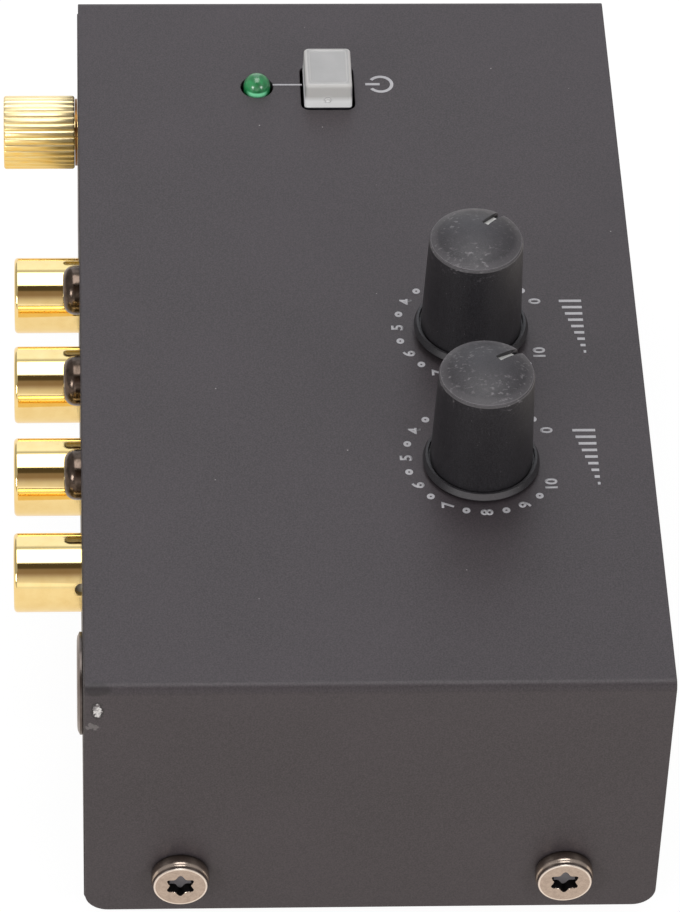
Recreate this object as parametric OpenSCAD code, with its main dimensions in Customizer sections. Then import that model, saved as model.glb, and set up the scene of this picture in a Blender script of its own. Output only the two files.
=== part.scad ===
// Phono preamp in a folded steel case: cover and chassis sheets, a row of four phono sockets,
// an earth terminal, a power inlet, two rotary controls, a latching power button and a lamp.
// X runs along the case, Y from the user's side to the socket side, Z up. The origin is the
// centre of the whole object's footprint, on the plane that the feet stand on.

/* [Case] */
// Length of the cover over its end flanges
case_l = 106; // [100:1:130]
// Width of the cover
case_w = 59.5; // [58:0.5:75]
// Height of the closed case without its feet
case_h = 33.8; // [33.4:0.2:42]
// Thickness of the folded steel sheet
sheet_t = 0.8; // [0.6:0.1:1]
// Inside radius of every fold
fold_r = 0.2; // [0.1:0.1:0.6]
// Radius of the lower corners of the cover's flanges
flange_corner_r = 2.4; // [1:0.2:3.4]
// How far the front and rear panels stand proud of the cover's edge
panel_proud = 0.1; // [0:0.05:0.3]
// Gap between the ends of the front and rear panels and the cover's flanges
panel_end_gap = 0.6; // [0.3:0.1:1.5]
// Height of the chassis lips that the cover is screwed to
lip_h = 9.5; // [8.5:0.5:10]
// Width of the chassis lips
lip_w = 48; // [47:1:52]
// Distance of a foot's centre from the cover's ends and sides
foot_inset = 7.2; // [6:0.2:8]
// Diameter of a foot where it is stuck on
foot_d = 8; // [6:0.5:9]
// Height of a foot
foot_h = 2.2; // [2.1:0.1:4]

/* [Cover screws] */
// Distance between the two screws of one end
cover_screw_pitch = 39.8; // [36:0.2:42]
// Height of the cover screws over the case's underside
cover_screw_up = 5.75; // [5:0.05:6]
// Diameter of the cover screw's head
cover_head_d = 5.6; // [5:0.1:6]
// Height of the cover screw's head
cover_head_h = 1.9; // [1.6:0.1:2.4]
// Thread diameter of the cover and board screws
thread_d = 3; // [2.5:0.1:3]
// Length of the cover screw under its head
cover_screw_l = 5; // [4:0.5:6]

/* [Phono sockets] */
// Distance from the near end of the cover to the first socket
jack_from_end = 27.8; // [27:0.2:30]
// Distance between neighbouring sockets
jack_pitch = 14.1; // [13.8:0.1:14.4]
// Distance of the socket row below the top of the cover
jack_below_top = 12; // [11.6:0.1:12.4]
// Outer diameter of a socket's shell
shell_d = 8.3; // [8:0.1:8.6]
// Wall of a socket's shell
shell_wall = 0.8; // [0.6:0.1:1]
// How far the shells stand out of the rear panel
shell_reach = 7.1; // [6:0.1:9]
// Diameter of the round socket contact's hole
contact_bore_d = 3.2; // [3:0.1:3.4]
// Height of the socket screws over the socket row
jack_screw_up = 7.45; // [7:0.05:7.6]
// Head diameter of the socket screws
jack_head_d = 5.35; // [5:0.05:5.6]
// Head height of the socket screws
jack_head_h = 1.8; // [1.4:0.1:2.2]
// Depth of the moulded socket block
block_depth = 9.6; // [9:0.1:10]

/* [Earth terminal] */
// Distance from the far end of the cover to the earth terminal
ground_from_end = 8.9; // [8.5:0.1:10]
// Diameter of the thumb nut over its teeth
nut_d = 8.3; // [8:0.1:9]
// Length of the thumb nut
nut_l = 8; // [7:0.1:9]
// Number of teeth of the thumb nut's knurl
nut_teeth = 36; // [24:1:40]
// Diameter of the earth terminal's stud
stud_d = 4; // [3:0.5:4]
// Outer diameter of the washer under the thumb nut
washer_d = 7.6; // [7:0.1:8]

/* [Power inlet] */
// Distance from the near end of the cover to the power inlet
inlet_from_end = 12; // [11:0.2:12.6]
// Diameter of the inlet's round nut
inlet_nut_d = 10.6; // [10:0.1:11]
// Height of the inlet's round nut
inlet_nut_h = 0.6; // [0.6:0.05:1.5]
// Bore of the inlet, for a 5.5 mm plug
inlet_bore_d = 6; // [5.7:0.1:6.2]
// Diameter of the inlet's centre pin
inlet_pin_d = 2.1; // [1.9:0.1:2.5]

/* [Controls] */
// Distance from the near end of the cover to the volume control
volume_from_end = 31.75; // [31.5:0.05:33.5]
// Distance from the volume control to the level control
control_pitch = 19.7; // [19:0.1:21]
// Distance from the cover's front edge to the controls
controls_from_front = 18; // [17.6:0.1:18.4]
// Diameter of a knob's base ring
knob_ring_d = 12.2; // [12:0.1:13]
// Diameter of a knob's body where it meets the ring
knob_base_d = 10.7; // [10.4:0.1:10.9]
// Diameter of a knob's body at its upper rim
knob_top_d = 9.9; // [9.6:0.1:10.4]
// Height of a knob from its ring to its upper rim
knob_h = 12.55; // [11:0.05:14]
// Rise of a knob's domed top over its rim
knob_dome = 1.3; // [0.8:0.1:1.6]
// Gap under the volume knob
volume_gap = 0.35; // [0.3:0.05:0.6]
// Gap under the level knob, which sits higher on its shaft
level_gap = 0.8; // [0.5:0.05:1.2]
// Angle of the volume pointer, from the front towards the far end
volume_angle = 42; // [30:1:330]
// Angle of the level pointer, from the front towards the far end
level_angle = 54.5; // [30:0.5:330]
// Diameter of a control's shaft
shaft_d = 6; // [5:0.1:6]
// Side of a control's square housing
pot_side = 11.4; // [11:0.1:11.6]

/* [Power button and lamp] */
// Distance from the far end of the cover to the button
button_from_end = 15.1; // [14.8:0.1:15.6]
// Distance from the cover's front edge to the button
button_from_front = 31.8; // [31:0.1:32.2]
// Length of the button along the case
button_l = 6.6; // [6:0.1:7]
// Width of the button across the case
button_w = 5.3; // [5:0.1:5.6]
// How far the released button stands over the cover
button_proud = 3.2; // [2.8:0.1:3.6]
// Travel of the button
button_travel = 2.4; // [1.5:0.1:2.4]
// Distance from the far end of the cover to the lamp
lamp_from_end = 14.9; // [14.5:0.1:15.4]
// Distance from the cover's front edge to the lamp
lamp_from_front = 39.65; // [39.4:0.05:40]
// Diameter of the lamp's lens
lamp_d = 3; // [2.8:0.1:3.2]

/* [Circuit board] */
// Thickness of the circuit board
board_t = 1.6; // [1.2:0.1:1.6]
// Height of the standoffs under the board
standoff_h = 10; // [9.6:0.1:10]
// Distance of the board's ends from the cover's ends
board_end_gap = 5; // [4.6:0.1:5.6]
// Gap between the board and the front and rear panels
board_side_gap = 1; // [0.6:0.1:1.4]
// Distance of the standoffs from the case's ends
standoff_from_end = 16; // [15.6:0.1:17]
// Distance of the standoffs from the case's sides
standoff_from_side = 10.75; // [10.5:0.05:11.5]

/* [Hidden] */
$fn = 64;

// Clearances: a screw in its hole, a shaft in its bushing, a lead in its hole, and the least
// gap between a moving piece and what it passes.
screw_gap = 0.15;
running_gap = 0.05;
lead_gap = 0.1;
moving_gap = 0.35;
cut = 1;

thread_r = thread_d / 2;

// Levels
base_z = foot_h;
floor_z = base_z + sheet_t;
top_z = base_z + case_h;
roof_z = top_z - sheet_t;
board_z = floor_z + standoff_h;
board_top = board_z + board_t;
lead_end_z = board_z - 1;

// Ends and sides of the cover, and the faces of the panels
end_x = case_l / 2;
side_y = case_w / 2;
lip_x = end_x - sheet_t;
panel_y = side_y + panel_proud;
panel_in_y = panel_y - sheet_t;
panel_half_l = lip_x - panel_end_gap;
bend_r = fold_r + sheet_t;

// Socket row
jack_z = top_z - jack_below_top;
jack_xs = [for (i = [0:3]) -end_x + jack_from_end + i * jack_pitch];
jack_screw_xs = [for (i = [0:2]) jack_xs[i] + jack_pitch / 2];
shell_r = shell_d / 2;
shell_in_r = shell_r - shell_wall;
shell_seat = 4;
shell_flange_r = shell_r + 0.8;
shell_flange_t = 0.8;
contact_wall = 0.35;
contact_r = contact_bore_d / 2 + contact_wall;
contact_back = 1.5;
contact_recess = 0.2;
insulator_recess = 1;
block_end = 7.2;
block_shoulder = 5.8;
block_ear_w = 7;
block_ear_top = jack_screw_up + 3;
block_back_y = panel_in_y - block_depth;
tail_t = 0.5;
tail_w = 0.9;
jack_shank_l = 8;

// Earth terminal and power inlet
ground_x = end_x - ground_from_end;
stud_r = stud_d / 2;
washer_t = 0.25;
seat_gap = 0.05;
nut_in_y = panel_y + seat_gap + washer_t + seat_gap;
nut_bore_l = nut_l - 1.3;
lug_t = 0.5;
post_head_r = 3.4;
post_head_h = 2.2;
wire_z = (board_top + jack_z - post_head_r) / 2;
wire_over_tip = 1.2;
wire_straight = 5;
wire_r = 0.7;
wire_core_r = 0.4;
wire_core_in = 0.5;
inlet_x = -end_x + inlet_from_end;
inlet_thread_r = inlet_bore_d / 2 + 1;
inlet_body_l = 11;
inlet_back = 1.5;

// Controls
volume_x = -end_x + volume_from_end;
level_x = volume_x + control_pitch;
controls_y = -side_y + controls_from_front;
pot_h = 11.5;
pot_top = board_top + pot_h;
pot_wall = 0.7;
pot_floor_t = 1;
pot_lid_t = 1.2;
bushing_wall = 0.6;
bushing_r = shaft_d / 2 + running_gap + bushing_wall;
bushing_l = 6.2;
cavity_r = pot_side / 2 - pot_wall;
journal_r = 2;
wafer_t = 0.8;
wiper_t = 1.2;
wiper_gap = 0.4;
gang_pitch = 4.3;
wiper_z1 = board_top + 1.7;
wiper_z2 = wiper_z1 + gang_pitch;
knob_bore_l = 9;

// Power button, its switch and the lamp
button_x = end_x - button_from_end;
button_y = -side_y + button_from_front;
button_r = 0.6;
button_h = 7.4;
button_socket_l = 5;
button_bottom = top_z + button_proud - button_h;
switch_side = 8.5;
switch_h = 12.6;
switch_wall = 0.8;
stem_w = 3;
lamp_x = end_x - lamp_from_end;
lamp_y = -side_y + lamp_from_front;
lamp_gap = 0.3;
lamp_dome_up = 0.1;
lamp_body_l = 3;
lamp_flange_h = 1;
lamp_flange_z = top_z + lamp_dome_up - lamp_body_l - lamp_flange_h;

// Footprint centre: the earth nut reaches out behind, the front panel in front
rear_reach = nut_in_y + nut_l;
frame_shift = -(rear_reach - panel_y) / 2;

// Places of the parts on the board. Their rows share the depth between the controls and the socket
// block. Their columns stand beside the control that they serve, or are spread evenly between the
// level control and the regulator.
rows_depth = block_back_y - controls_y;
cap_row_y = controls_y + 0.39 * rows_depth;
row_y = controls_y + 0.63 * rows_depth;
film_row_y = controls_y + 0.86 * rows_depth;
opamp_left = 1.5;
cap_left = 13.5;
cap_right = 7.5;
regulator_left = 7.9;
regulator_behind = 8.75;
regulator_cap_left = 1;
regulator_at = [button_x - regulator_left, controls_y + regulator_behind];
columns = 3;
column_w = (regulator_at[0] - level_x - cap_right) / columns;
opamp_xs = [volume_x - opamp_left, level_x - opamp_left];
column_xs = [for (i = [0:columns - 1]) level_x + cap_right + i * column_w];
last_column = column_xs[columns - 1];
opamp_at = [for (x = opamp_xs) [x, row_y]];
film_at = [for (x = concat(opamp_xs, [column_xs[0], last_column])) [x, film_row_y]];
cap_at = concat([for (x = concat([volume_x - cap_left, volume_x + cap_right], column_xs)) [x, row_y]],
    [for (x = [volume_x - cap_left, last_column]) [x, cap_row_y]],
    [[regulator_at[0] - regulator_cap_left, controls_y]]);
resistor_right = 10.9;
resistor_left = 9.5;
resistor_pitch = 3;
resistor_behind = 1.75;
resistor_at = [for (x0 = [level_x + resistor_right, volume_x - resistor_left], i = [0:3])
    [x0 + sign(x0 - volume_x) * i * resistor_pitch, controls_y + resistor_behind]];
cap_r = 2.5;
cap_h = 11;
cap_lead_pitch = 2;
film_size = [7.2, 2.5, 6.5];
film_lead_pitch = 5;
resistor_r = 1.1;
resistor_l = 6.3;
resistor_lead_pitch = 10.16;
lead_r = 0.3;
dip_pitch = 2.54;
dip_row = 7.62;
dip_size = [9.8, 6.4, 3.3];
dip_lift = 0.5;
regulator_lift = 2.5;
header_left = 1;
header_in = 25;
header_at = [inlet_x - header_left, panel_in_y - header_in];
header_size = [7.5, 5, 6];
header_pitch = 2.5;

module in_frame() {
    translate([0, frame_shift, 0]) children();
}

// A cylinder along +Y from y0, at x and z
module rod_y(x, z, y0, l, r) {
    translate([x, y0, z]) rotate([-90, 0, 0]) cylinder(r = r, h = l);
}

// A profile of [radius, distance along +Y] turned about the axis at x and z
module turn_y(x, z, y0) {
    translate([x, y0, z]) rotate([-90, 0, 0]) rotate_extrude() children();
}

// A rectangle of w by h, standing on the axis w is centred on, with its two upper corners round
module round_shouldered(w, h, r) {
    translate([-w / 2, 0]) square([w, h - r]);
    translate([-w / 2 + r, 0]) square([w - 2 * r, h]);
    for (side = [-1, 1]) translate([side * (w / 2 - r), h - r]) circle(r);
}

// Section of a sheet folded down at both sides
module folded_sheet(w, h) {
    difference() {
        round_shouldered(w, h, bend_r);
        translate([0, -cut]) round_shouldered(w - 2 * sheet_t, h - sheet_t + cut, fold_r);
    }
}

module round_rect(l, w, r) {
    square([l - 2 * r, w], center = true);
    square([l, w - 2 * r], center = true);
    for (x = [-1, 1], y = [-1, 1]) translate([x * (l / 2 - r), y * (w / 2 - r)]) circle(r);
}

// A round wire along a list of points, swept as one closed tube. The route never runs along ref.
function unit(v) = v / norm(v);
function tube_dir(p, i) = unit(p[min(i + 1, len(p) - 1)] - p[max(i - 1, 0)]);
module tube(p, r, sides, ref) {
    last = len(p) - 1;
    rings = [for (i = [0:last])
        let (d = tube_dir(p, i), u = unit(cross(d, ref)), v = cross(d, u))
        for (k = [0:sides - 1]) p[i] + r * (cos(360 * k / sides) * u + sin(360 * k / sides) * v)];
    walls = [for (i = [0:last - 1], k = [0:sides - 1])
        let (a = i * sides + k, b = i * sides + (k + 1) % sides) [b, a, a + sides, b + sides]];
    first_cap = [for (k = [0:sides - 1]) k];
    last_cap = [for (k = [sides - 1:-1:0]) last * sides + k];
    polyhedron(rings, concat([first_cap], walls, [last_cap]));
}

// Points of a smooth curve through the corners of a route
function bezier(a, b, c, t) = (1 - t) * (1 - t) * a + 2 * t * (1 - t) * b + t * t * c;
function smooth(p, steps) = concat([p[0]],
    [for (i = [1:len(p) - 2], s = [0:steps])
        bezier((p[i - 1] + p[i]) / 2, p[i], (p[i] + p[i + 1]) / 2, s / steps)],
    [p[len(p) - 1]]);

// Bare end of a wire through its hole in the board
module board_lead(at, r) {
    translate([at[0], at[1], lead_end_z]) cylinder(r = r, h = board_top + wire_core_in - lead_end_z, $fn = 24);
}

// Straight leads through the board, from z1 above it
module leads(places, z1) {
    for (p = places) translate([p[0], p[1], lead_end_z]) cylinder(r = lead_r, h = z1 - lead_end_z, $fn = 24);
}

// ---- places of leads, shared by the parts and the holes in the board ----
pot_pin_offsets = [for (x = [-2.5, 0, 2.5], y = [-4.2, 4.2]) [x, y]];
volume_pin_at = [for (o = pot_pin_offsets) [volume_x, controls_y] + o];
level_pin_at = [for (o = pot_pin_offsets) [level_x, controls_y] + o];
switch_pin_at = [for (x = [-2.5, 0, 2.5], y = [-2.5, 2.5]) [button_x + x, button_y + y]];
lamp_lead_at = [for (x = [-1, 1]) [lamp_x + x * dip_pitch / 2, lamp_y]];
contact_tail_at = [for (x = jack_xs) [x, block_back_y - tail_t / 2]];
shell_tail_at = [for (x = jack_xs) [x, panel_in_y - shell_flange_t / 2]];
cap_lead_at = [for (c = cap_at, x = [-1, 1]) c + [x * cap_lead_pitch / 2, 0]];
film_lead_at = [for (c = film_at, x = [-1, 1]) c + [x * film_lead_pitch / 2, 0]];
dip_pin_at = [for (c = opamp_at, i = [-1.5:1.5], y = [-1, 1]) c + [i * dip_pitch, y * dip_row / 2]];
resistor_lead_at = [for (c = resistor_at, y = [-1, 1]) c + [0, y * resistor_lead_pitch / 2]];
regulator_lead_at = [for (x = [-1.27, 0, 1.27]) regulator_at + [x, 0]];
header_pin_at = [for (x = [-1, 1]) header_at + [x * header_pitch / 2, 0]];
ground_hole_at = [ground_x - 1.5, block_back_y];
board_leads = concat(volume_pin_at, level_pin_at, switch_pin_at, lamp_lead_at, shell_tail_at,
    cap_lead_at, film_lead_at, dip_pin_at, resistor_lead_at, regulator_lead_at, header_pin_at);
standoff_at = [for (x = [-1, 1], y = [-1, 1])
    [x * (end_x - standoff_from_end), y * (side_y - standoff_from_side)]];

// ---- case ----

// Bottom, front and rear in one folded sheet, with an upturned lip at each end
module chassis() {
    color("dimgray") difference() {
        union() {
            translate([-panel_half_l, 0, roof_z]) rotate([90, 0, 90]) linear_extrude(2 * panel_half_l)
                mirror([0, 1]) folded_sheet(2 * panel_y, roof_z - base_z);
            chassis_lips();
        }
        for (x = jack_xs) rod_y(x, jack_z, panel_in_y - cut, sheet_t + 2 * cut, shell_r + screw_gap);
        for (x = jack_screw_xs)
            rod_y(x, jack_z + jack_screw_up, panel_in_y - cut, sheet_t + 2 * cut, thread_r + screw_gap);
        rod_y(ground_x, jack_z, panel_in_y - cut, sheet_t + 2 * cut, stud_r + running_gap);
        rod_y(inlet_x, jack_z, panel_in_y - cut, sheet_t + 2 * cut, inlet_thread_r + running_gap);
        for (p = standoff_at) translate([p[0], p[1], base_z - cut])
            cylinder(r = thread_r + screw_gap, h = sheet_t + 2 * cut);
        at_cover_screws(lip_x) cylinder(r = thread_r, h = 4 * cut + 2 * sheet_t, center = true);
    }
}

// The four cover screws' axes at both ends, pointing outwards from x
module at_cover_screws(x) {
    for (side = [0, 1], y = [-1, 1]) mirror([side, 0, 0])
        translate([x, y * cover_screw_pitch / 2, base_z + cover_screw_up]) rotate([0, 90, 0]) children();
}

// The lips stand inside the cover's flanges; each has two drawn collars that take the thread
module chassis_lips() {
    root = 3;
    collar_l = 1.2;
    collar_wall = 0.6;
    for (side = [-1, 1]) mirror([side < 0 ? 1 : 0, 0, 0]) {
        translate([lip_x - root, lip_w / 2, base_z]) rotate([90, 0, 0]) linear_extrude(lip_w) difference() {
            union() {
                square([root - bend_r, lip_h]);
                translate([0, bend_r]) square([root, lip_h - bend_r]);
                translate([root - bend_r, bend_r]) circle(bend_r);
            }
            translate([-cut, sheet_t + fold_r]) square([root - sheet_t + cut, lip_h]);
            translate([-cut, sheet_t]) square([root - sheet_t - fold_r + cut, lip_h]);
            translate([root - sheet_t - fold_r, sheet_t + fold_r]) circle(fold_r);
        }
    }
    at_cover_screws(lip_x - sheet_t - collar_l) cylinder(r = thread_r + collar_wall, h = collar_l + sheet_t / 2);
}

// Top panel and two end flanges, one folded sheet that drops over the chassis
module top_cover() {
    shaft_clearance = 0.8;
    knob_hole_r = shaft_d / 2 + shaft_clearance;
    color("#48474c") difference() {
        translate([0, side_y, base_z]) rotate([90, 0, 0]) linear_extrude(case_w) folded_sheet(case_l, case_h);
        for (side = [-1, 1]) mirror([0, side < 0 ? 1 : 0, 0])
            translate([-end_x - cut, side_y, base_z]) rotate([90, 0, 90]) linear_extrude(case_l + 2 * cut)
                difference() {
                    translate([-flange_corner_r, -cut]) square([flange_corner_r + cut, flange_corner_r + cut]);
                    translate([-flange_corner_r, flange_corner_r]) circle(flange_corner_r);
                }
        for (x = [volume_x, level_x]) translate([x, controls_y, roof_z - cut])
            cylinder(r = knob_hole_r, h = sheet_t + 2 * cut);
        translate([button_x, button_y, roof_z - cut]) linear_extrude(sheet_t + 2 * cut)
            round_rect(button_l + 2 * moving_gap, button_w + 2 * moving_gap, button_r + moving_gap);
        translate([lamp_x, lamp_y, roof_z - cut]) cylinder(r = lamp_d / 2 + lamp_gap, h = sheet_t + 2 * cut);
        at_cover_screws(end_x) cylinder(r = thread_r + screw_gap, h = 2 * cut + 2 * sheet_t, center = true);
    }
}

// Six-lobe recess, as a flat outline
module six_lobe(d) {
    valley_r = d * 0.21;
    valley_at = d * 0.575;
    difference() {
        circle(d / 2);
        for (a = [30:60:330]) rotate(a) translate([valley_at, 0]) circle(valley_r);
    }
}

// Cross recess, as a flat outline
module cross_recess(d) {
    for (a = [0, 90]) rotate(a) square([d, d * 0.26], center = true);
}

// A screw along +Z: shank below, head above with its rim rounded
module pan_screw(shank_r, shank_l, head_r, head_h, edge_r) {
    translate([0, 0, -shank_l]) cylinder(r = shank_r, h = shank_l);
    rotate_extrude() {
        square([head_r, head_h - edge_r]);
        square([head_r - edge_r, head_h]);
        translate([head_r - edge_r, head_h - edge_r]) intersection() {
            circle(edge_r);
            square(edge_r);
        }
    }
}

module cover_screws() {
    recess_d = 3.1;
    recess_l = 1.3;
    edge_r = 0.45;
    color("#8d8078") at_cover_screws(end_x) difference() {
        pan_screw(thread_r, cover_screw_l, cover_head_d / 2, cover_head_h, edge_r);
        translate([0, 0, cover_head_h - recess_l]) linear_extrude(recess_l + cut) six_lobe(recess_d);
    }
}

// Stick-on feet, narrower where they stand
module rubber_feet() {
    taper = 0.8;
    for (x = [-1, 1], y = [-1, 1])
        color("#202022") translate([x * (end_x - foot_inset), y * (side_y - foot_inset), 0]) rotate_extrude()
            polygon([[0, 0], [foot_d / 2 - taper, 0], [foot_d / 2, taper], [foot_d / 2, foot_h], [0, foot_h]]);
}

// ---- circuit board and what carries it ----

module circuit_board() {
    color("#1f5a34") translate([0, 0, board_z]) difference() {
        translate([-end_x + board_end_gap, -panel_in_y + board_side_gap, 0])
            cube([case_l - 2 * board_end_gap, 2 * (panel_in_y - board_side_gap), board_t]);
        board_holes(board_leads, lead_r + lead_gap);
        board_holes(contact_tail_at, norm([tail_w, tail_t]) / 2 + lead_gap);
        board_holes([ground_hole_at], wire_core_r + lead_gap);
        board_holes(standoff_at, thread_r + screw_gap);
    }
}

module board_holes(places, r) {
    for (p = places) translate([p[0], p[1], -cut]) cylinder(r = r, h = board_t + 2 * cut, $fn = 24);
}

module board_standoffs() {
    across_corners = 6.2;
    color("goldenrod") for (p = standoff_at) translate([p[0], p[1], floor_z]) difference() {
        cylinder(d = across_corners, h = standoff_h, $fn = 6);
        translate([0, 0, -cut]) cylinder(r = thread_r, h = standoff_h + 2 * cut);
    }
}

// Board screws and standoff screws share one pan head and stop short of each other in the standoff
module small_screw(under) {
    bite = 3.4;
    head_r = 2.7;
    head_h = 1.6;
    edge_r = 0.5;
    recess_d = 2.9;
    recess_l = 0.9;
    difference() {
        pan_screw(thread_r, under + bite, head_r, head_h, edge_r);
        translate([0, 0, head_h - recess_l]) linear_extrude(recess_l + cut) cross_recess(recess_d);
    }
}

module board_screws() {
    color("silver") for (p = standoff_at) translate([p[0], p[1], board_top]) small_screw(board_t);
}

module standoff_screws() {
    color("silver") for (p = standoff_at) translate([p[0], p[1], base_z]) mirror([0, 0, 1]) small_screw(sheet_t);
}

// ---- phono sockets ----

// Moulded body of the row: a long block with a raised ear for each screw, and hollows between
// the sockets that open to the back
module rca_block() {
    block_x = jack_xs[0] - block_end;
    block_l = 3 * jack_pitch + 2 * block_end;
    hollow_w = 3.2;
    hollow_top = 1;
    color("#1b1b1d") difference() {
        union() {
            translate([block_x, block_back_y, board_top])
                cube([block_l, block_depth, jack_z - board_top + block_shoulder]);
            for (x = jack_screw_xs) translate([x - block_ear_w / 2, block_back_y, jack_z])
                cube([block_ear_w, block_depth, block_ear_top]);
        }
        for (x = jack_xs) {
            rod_y(x, jack_z, panel_in_y - shell_seat, shell_seat + cut, shell_r);
            rod_y(x, jack_z, panel_in_y - shell_flange_t, shell_flange_t + cut, shell_flange_r);
            rod_y(x, jack_z, block_back_y + contact_back, block_depth, shell_in_r);
            rod_y(x, jack_z, block_back_y - cut, block_depth, contact_r);
            translate([x, panel_in_y - shell_flange_t / 2, board_top - cut])
                cylinder(r = lead_r, h = jack_z - board_top, $fn = 24);
        }
        for (x = jack_screw_xs) {
            rod_y(x, jack_z + jack_screw_up, block_back_y - cut, block_depth + 2 * cut, thread_r);
            translate([x - hollow_w / 2, block_back_y - cut, board_top - cut])
                cube([hollow_w, block_depth - contact_back + cut, jack_z - board_top - hollow_top + cut]);
        }
    }
}

// One shell: turned tube with a full-round rim, a flange behind the panel, a slimmer neck in it,
// a solder tail, and two long and two short slots where it leaves the panel
module rca_shell(x) {
    long_slot = [0.85, 1.75];
    short_slot = [1.4, 0.75];
    long_angles = [78, 258];
    short_angles = [160, 340];
    back = sheet_t + shell_seat;
    neck_step = 0.3;
    difference() {
        union() {
            turn_y(x, jack_z, panel_y) {
                translate([shell_in_r, -back]) square([shell_wall - neck_step, back]);
                translate([shell_in_r, -back]) square([shell_wall, shell_seat]);
                translate([shell_in_r, 0]) square([shell_wall, shell_reach - shell_wall / 2]);
                translate([shell_r - shell_wall / 2, shell_reach - shell_wall / 2]) circle(shell_wall / 2);
                translate([shell_in_r, -sheet_t - shell_flange_t])
                    square([shell_flange_r - shell_in_r, shell_flange_t]);
            }
            translate([x, panel_in_y - shell_flange_t / 2, lead_end_z])
                cylinder(r = lead_r, h = jack_z - shell_r - lead_end_z, $fn = 24);
        }
        for (a = long_angles) translate([x, panel_y, jack_z]) rotate([0, -a, 0])
            translate([0, 0, -long_slot[0] / 2]) slot_cut(long_slot);
        for (a = short_angles) translate([x, panel_y, jack_z]) rotate([0, -a, 0])
            translate([0, 0, -short_slot[0] / 2]) slot_cut(short_slot);
    }
}

// Round-ended slot through a shell's wall, open towards the panel, size [width, length]
module slot_cut(size) {
    into_panel = 0.5;
    translate([shell_in_r - cut, -into_panel, 0])
        cube([shell_wall + 2 * cut, size[1] - size[0] / 2 + into_panel, size[0]]);
    translate([shell_in_r - cut, size[1] - size[0] / 2, size[0] / 2]) rotate([0, 90, 0])
        cylinder(d = size[0], h = shell_wall + 2 * cut, $fn = 32);
}

module rca_shells() {
    color("gold") for (x = jack_xs) rca_shell(x);
}

// Plastic plugs that hold the contacts in the shells
module rca_insulators() {
    back = panel_y - block_back_y - contact_back;
    front = shell_reach - insulator_recess;
    color("#e8e6e0") for (x = jack_xs) turn_y(x, jack_z, panel_y - back)
        translate([contact_r, 0]) square([shell_in_r - contact_r, back + front]);
}

// Sprung centre contacts: slit tubes with a tail down to the board
module rca_contacts() {
    front = shell_reach - insulator_recess - contact_recess;
    slit_l = 6;
    slit_w = 0.4;
    color("gold") for (x = jack_xs) difference() {
        union() {
            rod_y(x, jack_z, block_back_y - tail_t, front + panel_y - block_back_y + tail_t, contact_r);
            translate([x - tail_w / 2, block_back_y - tail_t, lead_end_z]) cube([tail_w, tail_t, jack_z - lead_end_z]);
        }
        rod_y(x, jack_z, block_back_y + contact_back, front + panel_y - block_back_y, contact_bore_d / 2);
        translate([x - slit_w / 2, panel_y + front - slit_l, jack_z - shell_r]) cube([slit_w, slit_l + cut, shell_d]);
    }
}

module rca_screws() {
    recess_d = 3;
    recess_l = 1;
    edge_r = 1.3;
    color("#4a4846") for (x = jack_screw_xs) translate([x, panel_y, jack_z + jack_screw_up]) rotate([-90, 0, 0])
        difference() {
            pan_screw(thread_r, jack_shank_l, jack_head_d / 2, jack_head_h, edge_r);
            translate([0, 0, jack_head_h - recess_l]) linear_extrude(recess_l + cut) cross_recess(recess_d);
        }
}

// ---- earth terminal ----

// Threaded post, held by its round head behind the panel
module ground_post() {
    head_y = panel_in_y - lug_t - post_head_h;
    thread_stop = 0.5;
    color("gold") union() {
        rod_y(ground_x, jack_z, head_y, post_head_h, post_head_r);
        rod_y(ground_x, jack_z, head_y, nut_in_y + nut_bore_l - thread_stop - head_y, stud_r);
    }
}

// Solder tag clamped between the post's head and the panel, with its tail towards the board
module ground_lug() {
    ring_r = 3.8;
    tail = [2.6, lug_t, jack_z - wire_z + wire_over_tip];
    color("silver") difference() {
        union() {
            rod_y(ground_x, jack_z, panel_in_y - lug_t, lug_t, ring_r);
            translate([ground_x - tail[0] / 2, panel_in_y - lug_t, jack_z - tail[2]]) cube(tail);
        }
        rod_y(ground_x, jack_z, panel_in_y - lug_t - cut, lug_t + 2 * cut, stud_r);
    }
}

// Insulated wire from the tag's tail to the board, its bare core through the board
module ground_wire() {
    start = [ground_x, panel_in_y - lug_t, wire_z];
    over = [ground_hole_at[0], ground_hole_at[1], start[2]];
    land = [ground_hole_at[0], ground_hole_at[1], board_top];
    color("green") tube(smooth([start, start - [0, wire_straight, 0], over, land], 4), wire_r, 8, [1, 0, 0]);
    color("silver") board_lead(ground_hole_at, wire_core_r);
}

module ground_washer() {
    color("darkgoldenrod") turn_y(ground_x, jack_z, panel_y + seat_gap)
        translate([stud_r + running_gap, 0]) square([washer_d / 2 - stud_r - running_gap, washer_t]);
}

// Straight-knurled thumb nut: V teeth all round, both rims chamfered, blind thread
module ground_nut() {
    tooth_depth = 0.32;
    chamfer = 0.45;
    r = nut_d / 2;
    color("gold") translate([ground_x, nut_in_y, jack_z]) rotate([-90, 0, 0]) difference() {
        intersection() {
            linear_extrude(nut_l) polygon([for (i = [0:2 * nut_teeth - 1])
                let (a = 180 * i / nut_teeth, q = i % 2 == 0 ? r : r - tooth_depth) [q * cos(a), q * sin(a)]]);
            rotate_extrude() polygon([[0, 0], [r - chamfer, 0], [r + 0.1, chamfer + 0.1],
                [r + 0.1, nut_l - chamfer - 0.1], [r - chamfer, nut_l], [0, nut_l]]);
        }
        translate([0, 0, -cut]) cylinder(r = stud_r + running_gap, h = nut_bore_l + cut);
    }
}

// ---- power inlet ----

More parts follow.
